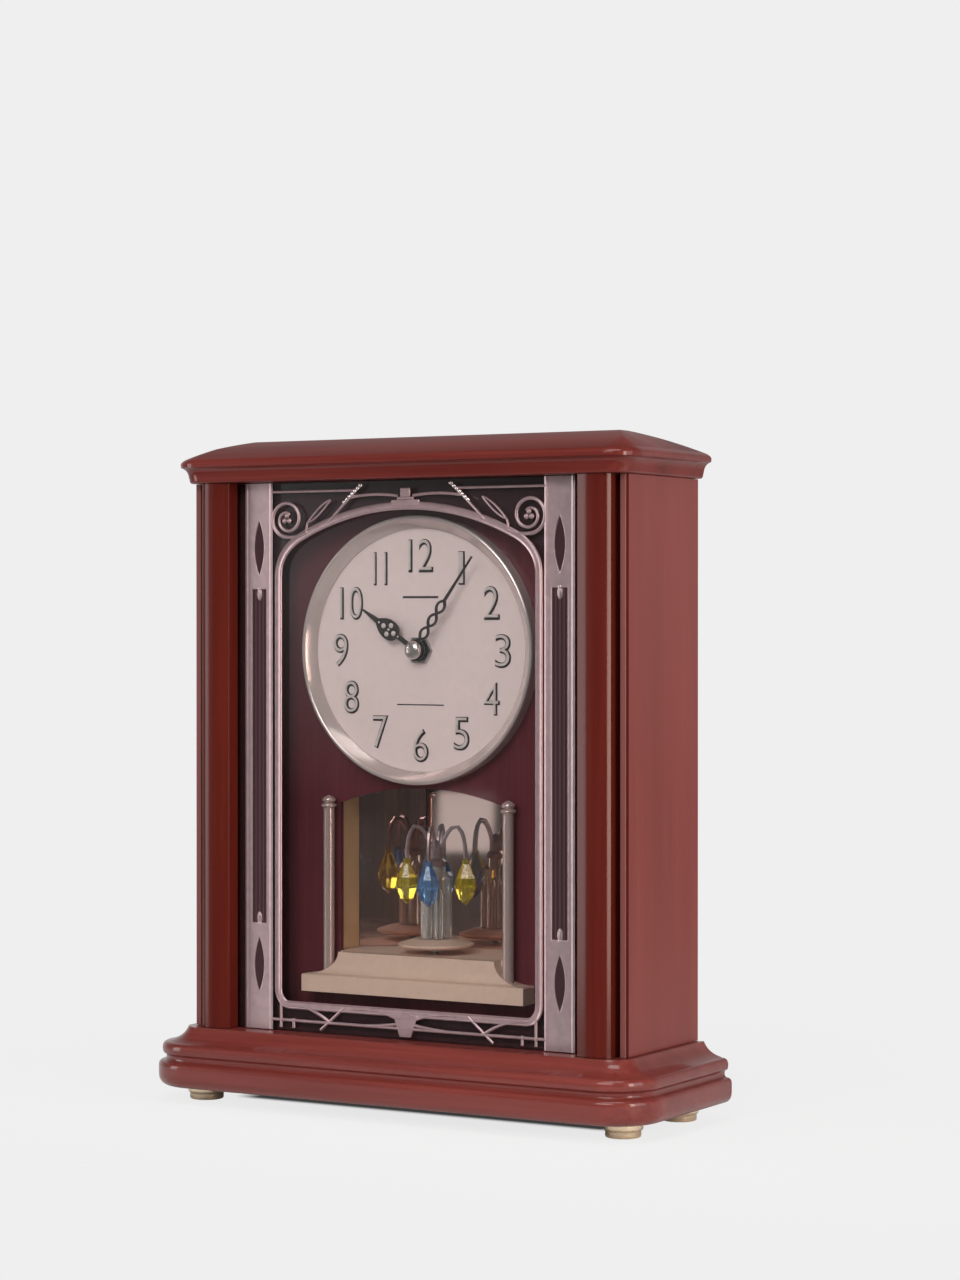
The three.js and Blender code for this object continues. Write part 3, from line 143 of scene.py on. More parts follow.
# A section of width and height carried along a line on the glass: its width lies along the line's normal and
# its height forwards along -y
def moulded(line, section, yBack, closed=False, width=1.0):
    before = np.roll(line, 1, axis=0)
    after = np.roll(line, -1, axis=0)
    if not closed:
        before[0], after[-1] = line[0], line[-1]
    along = after - before
    along = along / np.maximum(np.linalg.norm(along, axis=1, keepdims=True), 1e-9)
    normal = np.column_stack([-along[:, 1], along[:, 0]])
    share = np.broadcast_to(np.asarray(width, dtype=float), (len(line),))[:, None]
    sideways = share * section[None, :, 0]
    x = line[:, :1] + normal[:, :1] * sideways
    z = line[:, 1:] + normal[:, 1:] * sideways
    y = yBack - share ** 0.5 * section[None, :, 1]
    return np.stack([x, np.broadcast_to(y, x.shape), z], axis=-1)


def halfRound(width, height, steps=9):
    t = np.linspace(0, np.pi, steps)
    return np.column_stack([width / 2 * np.cos(t), height * np.sin(t) ** 0.8])


# Finishes
class Wire:
    def __init__(self, tree, socket=None):
        self.tree = tree
        self.socket = socket

    # adds a node: its settings first, then the values or links of its sockets
    def node(self, kind, settings=None, inputs=None, out=0):
        made = self.tree.nodes.new(kind)
        for key, value in (settings or {}).items():
            if key == "stops":
                ramp = made.color_ramp
                while len(ramp.elements) < len(value):
                    ramp.elements.new(0.5)
                for element, (place, colour) in zip(ramp.elements, value):
                    element.position = place
                    element.color = (*colour, 1)
            else:
                setattr(made, key, value)
        for key, value in (inputs or {}).items():
            if isinstance(value, Wire):
                self.tree.links.new(value.socket, made.inputs[key])
            else:
                made.inputs[key].default_value = value
        return Wire(self.tree, made.outputs[out])

    def feed(self, shader, name):
        self.tree.links.new(self.socket, shader.inputs[name])

    def calc(self, operation, first, second=0.0):
        return self.node("ShaderNodeMath", {"operation": operation}, {0: first, 1: second})

    def __add__(self, other):
        return self.calc("ADD", self, other)

    def __radd__(self, other):
        return self.calc("ADD", other, self)

    def __sub__(self, other):
        return self.calc("SUBTRACT", self, other)

    def __rsub__(self, other):
        return self.calc("SUBTRACT", other, self)

    def __mul__(self, other):
        return self.calc("MULTIPLY", self, other)

    def __rmul__(self, other):
        return self.calc("MULTIPLY", other, self)

    def atMost(self, other):
        return self.calc("MINIMUM", self, other)

    def atLeast(self, other):
        return self.calc("MAXIMUM", self, other)

    # keeps a value between 0 and 1
    def held(self):
        return self.atLeast(0.0).atMost(1.0)


def newFinish(name, fixed):
    material = bpy.data.materials.new(name)
    material.use_nodes = True
    shader = material.node_tree.nodes["Principled BSDF"]
    for key, value in fixed.items():
        shader.inputs[key].default_value = value
    return material, Wire(material.node_tree), shader


def stretched(paint, scale, detail=4.0, roughness=0.55):
    place = paint.node("ShaderNodeTexCoord", out="Object")
    fitted = paint.node("ShaderNodeMapping", {}, {"Vector": place, "Scale": scale})
    inputs = {"Vector": fitted, "Scale": 1.0, "Detail": detail, "Roughness": roughness}
    return paint.node("ShaderNodeTexNoise", {}, inputs)


def rippled(paint, height, strength, distance):
    return paint.node("ShaderNodeBump", {}, {"Height": height, "Strength": strength, "Distance": distance})


def ramped(paint, factor, *stops):
    return paint.node("ShaderNodeValToRGB", {"stops": stops}, {"Fac": factor})


def blended(paint, factor, first, second):
    return paint.node("ShaderNodeMix", {"data_type": "RGBA"}, {0: factor, 6: first, 7: second}, out=2)


def component(paint, vector, axis):
    return paint.node("ShaderNodeSeparateXYZ", {}, {0: vector}, out=axis)


# Red-brown wood under clear lacquer: fine streaks along the grain over slow clouds of tone
def lacqueredWood(name, grain, tones, gloss, sheen=0.1, glance=0.15, dullAbove=None):
    fixed = {"Coat Weight": gloss, "Coat Roughness": sheen, "Coat IOR": 1.45, "Specular IOR Level": glance}
    material, paint, shader = newFinish(name, fixed)
    fine = {"x": (14, 520, 520), "z": (520, 520, 14)}[grain]
    slow = {"x": (3, 55, 55), "z": (55, 55, 3)}[grain]
    streak = stretched(paint, fine, 5, 0.6)
    cloud = stretched(paint, slow, 2)
    tone = streak * 0.45 + cloud * 0.55
    ramped(paint, tone, (0.36, tones[0]), (0.5, tones[1]), (0.66, tones[2])).feed(shader, "Base Color")
    (streak * 0.16 + 0.26).feed(shader, "Roughness")
    rippled(paint, streak, 0.05, 0.0002).feed(shader, "Normal")
    if dullAbove:  # the lacquer ends at this height
        height = component(paint, paint.node("ShaderNodeTexCoord", out="Object"), "Z")
        (((dullAbove - height) * 600).held() * gloss).feed(shader, "Coat Weight")
    return material


# Plated or printed metal: faint mottling in tone and sheen
def platedMetal(name, dark, light, metallic, rough, grain=300):
    material, paint, shader = newFinish(name, {"Metallic": metallic})
    mottle = stretched(paint, (grain, grain, grain), 3)
    ramped(paint, mottle, (0.3, dark), (0.7, light)).feed(shader, "Base Color")
    ((mottle * 0.4 + 0.8) * rough).feed(shader, "Roughness")
    rippled(paint, mottle, 0.03, 0.0001).feed(shader, "Normal")
    return material


# Looking-glass: a tinted mirror, a little cloudy
def lookingGlass(name, dark, light, metallic, rough):
    material, paint, shader = newFinish(name, {"Metallic": metallic})
    cloud = stretched(paint, (40, 40, 40), 2)
    ramped(paint, cloud, (0.3, dark), (0.7, light)).feed(shader, "Base Color")
    (cloud * 0.02 + rough).feed(shader, "Roughness")
    return material


# Moulded or painted plain surface with a fine grain
def grained(name, dark, light, rough, scale, bump=0.12, glance=0.5):
    material, paint, shader = newFinish(name, {"Specular IOR Level": glance})
    speck = stretched(paint, (scale, scale, scale), 3)
    ramped(paint, speck, (0.35, dark), (0.65, light)).feed(shader, "Base Color")
    (speck * 0.15 + (rough - 0.07)).feed(shader, "Roughness")
    rippled(paint, speck, bump, 0.0002).feed(shader, "Normal")
    return material


# Cut glass: the tint drifts a little through each piece
def crystal(name, dark, light):
    material, paint, shader = newFinish(name, {"Transmission Weight": 0.82, "IOR": 1.56, "Roughness": 0.02})
    drift = stretched(paint, (90, 90, 90), 1)
    ramped(paint, drift, (0.35, dark), (0.65, light)).feed(shader, "Base Color")
    return material


# Window glass that passes light straight and mirrors more at a glance
def paneGlass(name):
    material, paint, shader = newFinish(name, {})
    tree = material.node_tree
    output = tree.nodes["Material Output"]
    tree.nodes.remove(shader)
    clear = paint.node("ShaderNodeBsdfTransparent", {}, {"Color": (0.96, 0.965, 0.96, 1)})
    shine = paint.node("ShaderNodeBsdfGlossy", {}, {"Color": (1, 1, 1, 1), "Roughness": 0.03})
    glance = paint.node("ShaderNodeFresnel", {}, {"IOR": 1.45})
    smear = stretched(paint, (12, 12, 12), 2)
    factor = glance * (smear * 0.25 + 0.75)
    mixed = paint.node("ShaderNodeMixShader", {}, {0: factor, 1: clear, 2: shine})
    tree.links.new(mixed.socket, output.inputs["Surface"])
    return material


# Silver with a mask that turns its hollows into the dark glass behind
def hollowedSilver(name):
    material, paint, shader = newFinish(name, {"Specular IOR Level": 0.1})
    mottle = stretched(paint, (300, 300, 300), 3)
    plate = ramped(paint, mottle, (0.3, (0.39, 0.285, 0.295)), (0.7, (0.44, 0.325, 0.335)))
    hollow = paint.node("ShaderNodeAttribute", {"attribute_name": "hollow"}, {}, out="Fac")
    dark = (0.036, 0.0155, 0.019, 1)
    blended(paint, hollow, plate, dark).feed(shader, "Base Color")
    (0.7 - hollow * 0.65).feed(shader, "Metallic")
    (mottle * 0.12 + hollow * 0.35 + 0.28).feed(shader, "Roughness")
    return material


woodTones = ((0.088, 0.0135, 0.0105), (0.115, 0.0195, 0.0155), (0.148, 0.027, 0.0215))
corniceWood = lacqueredWood("corniceWood", "x", woodTones, gloss=0.5, glance=0.04, dullAbove=0.3015)
panelTones = ((0.121, 0.0192, 0.0148), (0.139, 0.0225, 0.0172), (0.159, 0.0275, 0.0215))
panelWood = lacqueredWood("panelWood", "z", panelTones, gloss=0.12, sheen=0.2)
columnTones = ((0.059, 0.0072, 0.0045), (0.069, 0.0084, 0.0053), (0.083, 0.0108, 0.0068))
columnWood = lacqueredWood("columnWood", "z", columnTones, gloss=0.34, sheen=0.16, glance=0.03)
# the lipping's paler tone is a painted highlight along the panel's front edge
lippingHighlightTones = ((0.132, 0.045, 0.042), (0.150, 0.052, 0.048), (0.168, 0.060, 0.055))
lippingHighlightWood = lacqueredWood("lippingHighlightWood", "z", lippingHighlightTones, gloss=0.3, sheen=0.16, glance=0.05)
levelWood = lacqueredWood("levelWood", "x", woodTones, gloss=0.5)
boardTones = ((0.084, 0.015, 0.021), (0.104, 0.018, 0.025), (0.126, 0.023, 0.031))
boardWood = lacqueredWood("boardWood", "z", boardTones, gloss=0.1)
backTones = ((0.014, 0.008, 0.006), (0.026, 0.014, 0.010), (0.042, 0.023, 0.016))
backWood = lacqueredWood("backWood", "z", backTones, gloss=0.0)
silverPlate = platedMetal("silverPlate", (0.33, 0.23, 0.24), (0.38, 0.27, 0.28), metallic=0.7, rough=0.34)
brightSilver = platedMetal("brightSilver", (0.66, 0.58, 0.56), (0.78, 0.70, 0.68), metallic=0.85, rough=0.2)
rimSilver = platedMetal("rimSilver", (0.70, 0.575, 0.555), (0.74, 0.61, 0.59),
                        metallic=0.5, rough=0.16, grain=900)
postSilver = platedMetal("postSilver", (0.62, 0.455, 0.43), (0.68, 0.505, 0.475),
                         metallic=0.55, rough=0.16, grain=900)
numeralSilver = platedMetal("numeralSilver", (0.66, 0.56, 0.54), (0.76, 0.66, 0.64), metallic=0.3, rough=0.3)
dialSilver = platedMetal("dialSilver", (0.77, 0.615, 0.60), (0.81, 0.65, 0.635),
                         metallic=0.1, rough=0.46, grain=260)
champagne = platedMetal("champagne", (0.69, 0.49, 0.395), (0.75, 0.535, 0.435), metallic=0.2, rough=0.3)
# a brighter copy of champagne for the niche floor: painted light that lifts it out of the niche's shade
nicheFloorLitPlate = platedMetal("nicheFloorLitPlate", (0.86, 0.62, 0.50), (0.92, 0.68, 0.56), metallic=0.1, rough=0.3)
paleBrass = platedMetal("paleBrass", (0.66, 0.54, 0.38), (0.72, 0.60, 0.43),
                        metallic=0.75, rough=0.24, grain=900)
plainSteel = platedMetal("plainSteel", (0.36, 0.36, 0.37), (0.50, 0.50, 0.51), metallic=1.0, rough=0.32)
handPaint = platedMetal("handPaint", (0.022, 0.017, 0.018), (0.045, 0.036, 0.037), metallic=0.3, rough=0.34)
blackMoulding = grained("blackMoulding", (0.010, 0.010, 0.011), (0.018, 0.018, 0.020), rough=0.55, scale=2500)
whiteMoulding = grained("whiteMoulding", (0.60, 0.58, 0.53), (0.68, 0.66, 0.61), rough=0.5, scale=2500)
clearPane = paneGlass("clearPane")
tintMirror = lookingGlass("tintMirror", (0.77, 0.55, 0.50), (0.82, 0.60, 0.55), metallic=0.95, rough=0.01)
bandSilver = hollowedSilver("bandSilver")
goldMirror = lookingGlass("goldMirror", (0.70, 0.47, 0.27), (0.80, 0.55, 0.33), metallic=0.2, rough=0.2)
clearCrystal = crystal("clearCrystal", (0.86, 0.78, 0.72), (0.97, 0.92, 0.88))
blueCrystal = crystal("blueCrystal", (0.18, 0.38, 0.82), (0.40, 0.68, 0.98))
amberCrystal = crystal("amberCrystal", (0.80, 0.62, 0.05), (0.95, 0.82, 0.18))
glassPrint = grained("glassPrint", (0.030, 0.0115, 0.0135), (0.040, 0.0155, 0.018),
                     rough=0.6, scale=900, bump=0.02, glance=0.1)
cellWrap = grained("cellWrap", (0.020, 0.020, 0.024), (0.035, 0.035, 0.040), rough=0.35, scale=700, bump=0.03)

finishOf = {
    "mahogany": panelWood, "cornice": levelWood, "dark_board": boardWood, "black_board": backWood,
    "silver": silverPlate, "dial_silver": dialSilver, "champagne": champagne, "brass": paleBrass,
    "steel": plainSteel, "hand_black": handPaint, "plastic": blackMoulding, "white_plastic": whiteMoulding,
    "glass": clearPane, "mirror": tintMirror, "bronze_mirror": goldMirror, "clear_crystal": clearCrystal,
    "blue_crystal": blueCrystal, "amber_crystal": amberCrystal, "cell_body": cellWrap,
}
for row in frame["record"]["subparts"]:
    shown = nodes[row["node"]]
    # the niche floor takes the brighter copy of champagne, which is painted light
    finish = nicheFloorLitPlate if row["node"] == "niche_floor" else finishOf[row["material_slot"]]
    shown.data.materials.clear()
    shown.data.materials.append(finish)
print("finishes made:", len(bpy.data.materials))

# Wooden mouldings: a profile of projection and height carried round the sides and the rounded front corners;
# where the cornice slopes up to its narrow flat, the rows also draw in from the front and the back
sides = (("left", -1), ("right", 1))
caseShape = {"half": 114.7, "front": -28.65, "back": 45.75, "corner": 7.0, "low": 34.9, "high": 289.3}
corniceShape = {"bottom": 289.5, "runIn": 20.9, "rise": 9.3, "swell": 0.35, "fromFront": 13.7, "fromBack": 37}
plinthBottom = 7.4


def mouldedRound(profile, bottom, fromFront=0, fromBack=0):
    reach = profile[:, :1]
    radius = np.maximum(caseShape["corner"] + reach, 0.8)
    half = caseShape["half"] + reach
    front = caseShape["front"] - reach + fromFront
    back = np.broadcast_to(caseShape["back"] - fromBack, half.shape)
    turn = np.linspace(np.pi, 1.5 * np.pi, 15)[None, :]
    leftX, leftY = -half + radius + radius * np.cos(turn), front + radius + radius * np.sin(turn)
    x = np.hstack([half, -half, leftX, -leftX[:, ::-1]])
    y = np.hstack([back, back, leftY, leftY[:, ::-1]])
    z = np.broadcast_to(profile[:, 1:] + bottom, x.shape)
    return np.stack([x, y, z], axis=-1)


plinthProfile = drawn(
    (12.5, 0), (17.1, 0.6, 17.1, 5.7), (17.1, 9.1), (17.1, 11.5, 15.1, 11.7), (13.5, 11.9, 13.5, 13.3),
    (13.5, 14.9, 14.5, 15.1), (15.3, 15.3, 15.3, 17.5), (15.3, 20.5, 12.3, 20.5), (10.9, 21),
    (5.1, 22.5, 3.1, 27.3),
)
plinthRows = mouldedRound(plinthProfile, plinthBottom)
plinth = surface("plinthMoulding", plinthRows, levelWood, "case", closeColumns=True, caps=True)
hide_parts("base_plinth")
corniceProfile = drawn(
    (1.2, 0), (2.4, 0.2, 2.5, 1.4), (2.9, 3), (3.4, 6.6, 6.6, 7.4), (6.8, 9), (6.4, 10.2, 4.4, 11.2),
)
share = np.linspace(0, 1, 17)[1:]
climb = share + corniceShape["swell"] * share * (1 - share)
slope = corniceProfile[-1] + np.column_stack([-corniceShape["runIn"] * share, corniceShape["rise"] * climb])
drawIn = np.concatenate([np.zeros(len(corniceProfile)), share])[:, None]
corniceRows = mouldedRound(np.vstack([corniceProfile, slope]), corniceShape["bottom"],
                           corniceShape["fromFront"] * drawIn, corniceShape["fromBack"] * drawIn)
cornice = surface("corniceMoulding", corniceRows, corniceWood, "case", closeColumns=True, caps=True)
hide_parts("top_cornice")


def upright(name, outline, sign, finish, angle=35):
    ends = raised(outline * [sign, 1], caseShape["low"], caseShape["high"])
    return surface(name, ends, finish, "case", closeColumns=True, caps=True, angle=angle)


# Outlines in plan of the right side: panel, its lipping, which is given a paler tone as a painted highlight, a
# strip of dark wood in the groove behind that as painted shade, and the column
uprights = {
    "panel": drawn(
        (111.5, -21.5), (114.7, -21.5), (114.7, 45.75), (102.7, 45.75), (102.7, -17.45), (111.5, -17.45),
    ),
    "lipping": drawn(
        (111.5, -22.3), (111.5, -23.3), (111.5, -23.65, 111.85, -23.65), (113.9, -23.65),
        (114.3, -23.65, 114.3, -23.25), (113.4, -22.3),
    ),
    "groove": drawn(
        (111.5, -21.45), (111.5, -22.35), (113.35, -22.35), (113.6, -22.1), (114.65, -21.6), (114.7, -21.45),
    ),
    "column": drawn(
        (92.5, -20.85), (92.5, -27.7), (92.5, -28.0, 92.9, -28.1), (95.5, -28.8, 98.0, -29.55, 100.6, -29.6),
        (104.2, -29.6, 106.2, -29.1, 107.4, -28.0), (108.6, -26.6), (108.6, -17.65), (99.0, -17.65),
        (99.0, -20.85), steps=16,
    ),
}
for side, sign in sides:
    panel = upright(f"sidePanel_{side}", uprights["panel"], sign, panelWood)
    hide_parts(f"side_panel_{side}")
    # the lipping takes the paler wood: a painted highlight on the front edge
    lipping = upright(f"panelLipping_{side}", uprights["lipping"], sign, lippingHighlightWood)
    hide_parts(f"side_panel_{side}")
    # the groove strip takes the dark column wood: painted shade in the groove
    groove = upright(f"lippingGrooveShade_{side}", uprights["groove"], sign, columnWood)
    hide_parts(f"side_panel_{side}")
    column = upright(f"cornerColumn_{side}", uprights["column"], sign, columnWood, angle=40)
    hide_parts(f"corner_column_{side}")

feet = {"aside": 111, "front": -19.65, "rear": 34.35, "segments": 40}
footProfile = drawn(
    (0, 0), (7.0, 0), (7.9, 0, 7.9, 0.9), (7.9, 2.4), (7.9, 3.1, 8.4, 3.3), (8.8, 3.5, 8.8, 4.1), (8.8, 7.2),
    (0, 7.2), steps=5,
)
for end in ("front", "rear"):
    for side, sign in sides:
        rings = turned(footProfile, (sign * feet["aside"], feet[end], 0), "z", feet["segments"])
        foot = surface(f"foot_{end}_{side}_turned", rings, paleBrass, "case",
                       closeColumns=True, caps=True)
        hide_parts(f"foot_{end}_{side}")
print("case built")

# Silver tracery on the glass, drawn in x and z
tracery = {"back": -20.7, "height": 0.75}
arch = {"half": 71.4, "bottom": 45.1, "corner": 9, "shoulder": 11, "centre": 150.5, "radius": 128.9,
        "middle": 127}


def archLine(x, radius=arch["middle"]):
    return arch["centre"] + math.sqrt(radius ** 2 - x ** 2)


# The frame's closed line, drawn in by an inset: bent lower corners, upright sides, bent shoulders and an arc
def framePath(inset, count):
    half, bottom = arch["half"] - inset, arch["bottom"] + inset
    corner, radius = arch["corner"] - inset, arch["radius"] - inset
    turnX = half - arch["shoulder"]
    top = archLine(half, radius)
    across = np.linspace(math.acos(turnX / radius), math.pi - math.acos(turnX / radius), 60)
    arc = np.column_stack([radius * np.cos(across), arch["centre"] + radius * np.sin(across)])
    rightSide = drawn(
        (0, bottom), (half - corner, bottom),
        (half - 0.41 * corner, bottom, half - 0.29 * corner, bottom + 0.29 * corner),
        (half, bottom + 0.59 * corner, half, bottom + corner), (half, top - arch["shoulder"]),
        (half, top, turnX, archLine(turnX, radius)),
    )
    leftSide = rightSide[::-1] * [-1, 1]
    return evenly(np.vstack([rightSide, arc[1:-1], leftSide[:-1]]), count, closed=True)


frameSection = drawn(
    (1.9, 0), (1.9, 0.5, 1.4, 0.75), (0.9, 0.5), (-0.9, 0.5), (-1.4, 0.75), (-1.9, 0.5, -1.9, 0), steps=4,
)
frameRows = moulded(framePath(1.9, 420), frameSection, tracery["back"], closed=True)
archedFrame = surface("traceryFrame", frameRows, silverPlate, "case",
                      closeRows=True, closeColumns=True)
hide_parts("glass_tracery")


# A half-round bar along a line, thinner towards an end where a taper is given
def stroke(name, line, width, count, taper=(1.0, 1.0)):
    section = halfRound(width, tracery["height"])
    share = np.linspace(taper[0], taper[1], count)
    rows = moulded(evenly(line, count), section, tracery["back"], width=share)
    shown = surface(name, rows, silverPlate, "case", closeColumns=True, caps=True)
    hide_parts("glass_tracery")


# One piece of many balls, flattened a little from front to back, at points of x and z
def balls(name, flat, y, radius, finish, body):
    sweep = np.linspace(0, 2 * np.pi, 12, endpoint=False)
    around, up = np.meshgrid(sweep, np.linspace(-np.pi / 2, np.pi / 2, 8))
    ball = np.stack([np.cos(up) * np.cos(around), np.cos(up) * np.sin(around) * 0.7, np.sin(up)], -1)
    ball = ball.reshape(-1, 3)
    centres = np.insert(flat, 1, y, axis=1)
    points = (ball * np.reshape(radius, (-1, 1, 1)) + centres[:, None]).reshape(-1, 3)
    single = gridFaces(8, 12, closeColumns=True)
    faces = np.concatenate([single + i * len(ball) for i in range(len(flat))]).tolist()
    return piece(name, points, faces, finish, body, angle=80)


def beads(name, line, count, radius, finish=brightSilver):
    shown = balls(name, evenly(line, count), tracery["back"] - 0.35, radius, finish, "case")
    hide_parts("glass_tracery")


# A spiral that closes slowly at first and faster towards its eye
spiral = {"x": 64.515, "z": 272.3, "radius": 8.3, "turns": 1.6}
scrollFoot = (spiral["x"], spiral["z"] - spiral["radius"])
tailFoot = (53.515, archLine(53.515))  # the scroll's tail and the leaf's stem leave the arch here


def scroll(sign):
    share = np.linspace(0, 1, 90)
    radius = spiral["radius"] * (1 - 0.72 * share ** 1.6)
    angle = -np.pi / 2 + share * spiral["turns"] * 2 * np.pi
    x, z = spiral["x"] + radius * np.cos(angle), spiral["z"] + radius * np.sin(angle)
    return np.column_stack([sign * x, z])


for side, sign in sides:
    flip = np.array([sign, 1])
    stroke(f"topRail_{side}", np.array([[26.5, 285], [73, 285]]) * flip, 1.3, 12)
    diagonal = np.array([[24, 287.4], [42, archLine(42)]]) * flip
    stroke(f"topDiagonal_{side}", diagonal, 1.2, 24)
    beads(f"diagonalBeads_{side}", np.array([[24.2, 287.2], [33, 279.6]]) * flip, 7, 0.95)
    stroke(f"topSwag_{side}", drawn((4, 282), (17, 283.8, 29.4, 281.8)) * flip, 1.4, 24)
    leaf = drawn((40.5, 280.8), (45.5, 279.6, 53, 270.6), (47.5, 272.2, 40.5, 280.8))
    stroke(f"leaf_{side}", evenly(leaf, 60) * flip, 0.9, 60)
    stroke(f"leafStem_{side}", drawn((53, 270.6), (54, 268.4, *tailFoot)) * flip, 1.1, 16)
    stroke(f"scrollTail_{side}", drawn(tailFoot, (59.5, 263.4, *scrollFoot)) * flip, 1.6, 24)
    stroke(f"scroll_{side}", scroll(sign), 1.8, 90, taper=(1.0, 0.75))
    lobes = np.radians([90, 210, 330])
    trefoil = np.column_stack([np.cos(lobes), np.sin(lobes)]) * 1.5 + [sign * spiral["x"], spiral["z"]]
    beads(f"scrollEye_{side}", trefoil, 3, 1.25, silverPlate)
    stroke(f"bottomRail_{side}", np.array([[0, 39.9], [73.4, 39.9]]) * flip, 1.5, 12)
    stroke(f"bottomDiagonal_{side}", np.array([[33, 47.6], [46, 36.5]]) * flip, 1.3, 20)
    stroke(f"bottomSwagHigh_{side}", drawn((4, 43.9), (15, 48.4, 27, 47)) * flip, 1.4, 24)
    stroke(f"bottomSwagLow_{side}", drawn((4, 41.9), (18, 39.5, 34, 39.9)) * flip, 1.4, 24)
    stroke(f"bottomSweep_{side}", drawn((40.5, 39.9), (52, 47.6, 63, 47)) * flip, 1.4, 24)
    stroke(f"innerTick_{side}", np.array([[61, 36.5], [61, 40.9]]) * flip, 1.4, 8)
    stroke(f"outerTick_{side}", np.array([[68, 36.5], [68, 50]]) * flip, 1.4, 12)

# Side bands: a plate with a rolled edge, two pointed openings and a long fluted slot, as a height over x and z
band = {"inner": 72.4, "outer": 87.8, "low": 35.1, "high": 289.1, "slotHalf": 4.1, "slotEnd": 78,
        "lensAway": 97, "lensHalf": 13, "lensWide": 2.8}
for side, sign in sides:
    across = np.linspace(band["inner"], band["outer"], 78)
    up = np.linspace(band["low"], band["high"], 700)
    x, z = np.meshgrid(across, up)
    offset = x - (band["inner"] + band["outer"]) / 2
    rise = z - (band["low"] + band["high"]) / 2
    edge = (band["outer"] - band["inner"]) / 2 - np.abs(offset)
    height = 0.45 + 0.3 * np.exp(-((edge - 0.9) / 0.5) ** 2)
    slot = np.minimum(band["slotHalf"] - np.abs(offset), band["slotEnd"] - np.abs(rise))
    fromLens = (np.abs(rise) - band["lensAway"]) / band["lensHalf"]
    lens = band["lensWide"] * (1 - fromLens ** 2) - np.abs(offset)
    inside = np.clip(np.maximum(slot, lens) / 0.25, 0, 1)
    flute = np.where(slot > 0.6, 0.12 * np.cos(offset * 2 * np.pi / 2.05), 0)
    fromBud = (np.abs(rise) - band["slotEnd"] + 2.4) / 3.0
    bud = np.maximum(1 - (offset / 1.5) ** 2 - fromBud ** 2, 0) ** 0.5
    height = np.where(inside > 0, height * (1 - inside) + (0.1 + flute * inside), height) + 0.55 * bud
    face = np.stack([sign * x, tracery["back"] - height, z], -1)
    sideBand = surface(f"sideBand_{side}", face, bandSilver, "case", angle=60)
    # where the slot's flutes crest, the dark is let off a little toward silver: a painted highlight along each
    # crest
    hollow = np.clip(inside - 1.6 * bud - np.where(flute > 0.07, 0.06, 0), 0, 1)
    mask = sideBand.data.attributes.new("hollow", "FLOAT", "POINT")
    mask.data.foreach_set("value", hollow.ravel().astype(np.float32))
    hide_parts("glass_tracery")


# Crest over the arch and keystone under the frame: stepped plates with a rounded rim
def plate(name, outline, depth, rim):
    low = np.column_stack([outline[:, 0], np.full(len(outline), tracery["back"]), outline[:, 1]])
    high = low - [0, depth, 0]
    shown = surface(name, np.stack([low, high]), silverPlate, "case", closeColumns=True, caps=True)
    soft = shown.modifiers.new("rim", "BEVEL")
    soft.width = rim * 0.001
    soft.segments = 2
    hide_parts("glass_tracery")


def blockOutline(half, low, high):
    return np.array([[-half, low], [half, low], [half, high], [-half, high]])


plate("crestBase", blockOutline(7.5, 277.2, 280.1), depth=0.7, rim=0.3)
plate("crestStep", blockOutline(4.4, 280.1, 281.4), depth=0.6, rim=0.2)
plate("crestBlock", blockOutline(2.6, 281.4, 285.5), depth=0.75, rim=0.3)
keystone = np.array([[-3, 36.1], [3, 36.1], [6, 44.6], [3, 47], [-3, 47], [-6, 44.6]])
plate("keystone", keystone, depth=0.7, rim=0.3)
plate("keystoneCap", blockOutline(6.6, 44.2, 46.4), depth=0.75, rim=0.3)

# Dark print on the back of the glass: each point of the frame's line is joined to the case straight outwards
printed = {"half": 97.5, "halfHeight": 126.9, "middle": 162, "y": -17.55}
window = framePath(1.2, 480)
fromMiddle = window - [0, printed["middle"]]
reach = np.maximum(np.abs(fromMiddle), 1e-6)
spread = np.minimum(printed["half"] / reach[:, 0], printed["halfHeight"] / reach[:, 1])
sheet = np.stack([window, fromMiddle * spread[:, None] + [0, printed["middle"]]])
sheet = np.insert(sheet, 1, printed["y"], axis=-1)
surface("glassPrintSheet", sheet, glassPrint, "case", closeColumns=True)
print("tracery built")

# Dial: plate, rim, numerals, two plain rules and the domed cap, turned about the dial's axis
dial = {"centre": (0, 0, 211.8), "face": -7.85, "numeralRadius": 43.4, "numeralHeight": 14.8, "digitWidth": 7.3,
        "widths": {10: 11.6, 11: 6.4, 12: 12.2, 1: 2.4}}
dialProfile = drawn(
    (5.3, -7.85), (46.6, -7.85), (52.5, -7.85, 55.6, -8.45), (60.8, -8.45), (60.8, -6.65), (5.3, -6.65),
    (5.3, -7.85),
)
dialRows = turned(dialProfile, dial["centre"], "y", 160)
dialPlate = surface("dialTurned", dialRows, dialSilver, "case", closeColumns=True)
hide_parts("dial_plate")
bezelProfile = drawn(
    (55.6, -8.65), (55.6, -9.0), (56.0, -9.3), (59.4, -13.1), (59.8, -13.65, 60.3, -13.65),
    (61.6, -13.6, 61.6, -12.3), (61.6, -6.65), (61.1, -6.65), (61.1, -8.65), (55.6, -8.65),
)
bezel = surface("bezelTurned", turned(bezelProfile, dial["centre"], "y", 160), rimSilver, "case",
                closeColumns=True, angle=50)
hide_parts("dial_bezel")
capProfile = drawn(
    (0, -16.65), (2.6, -16.65, 3.7, -15.7), (4.2, -15.2, 4.2, -14.7), (4.2, -14.45), (0, -14.45),
)
cap = surface("capTurned", turned(capProfile, dial["centre"], "y", 48), brightSilver, "minute",
              closeColumns=True, caps=True)
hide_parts("hand_cap")

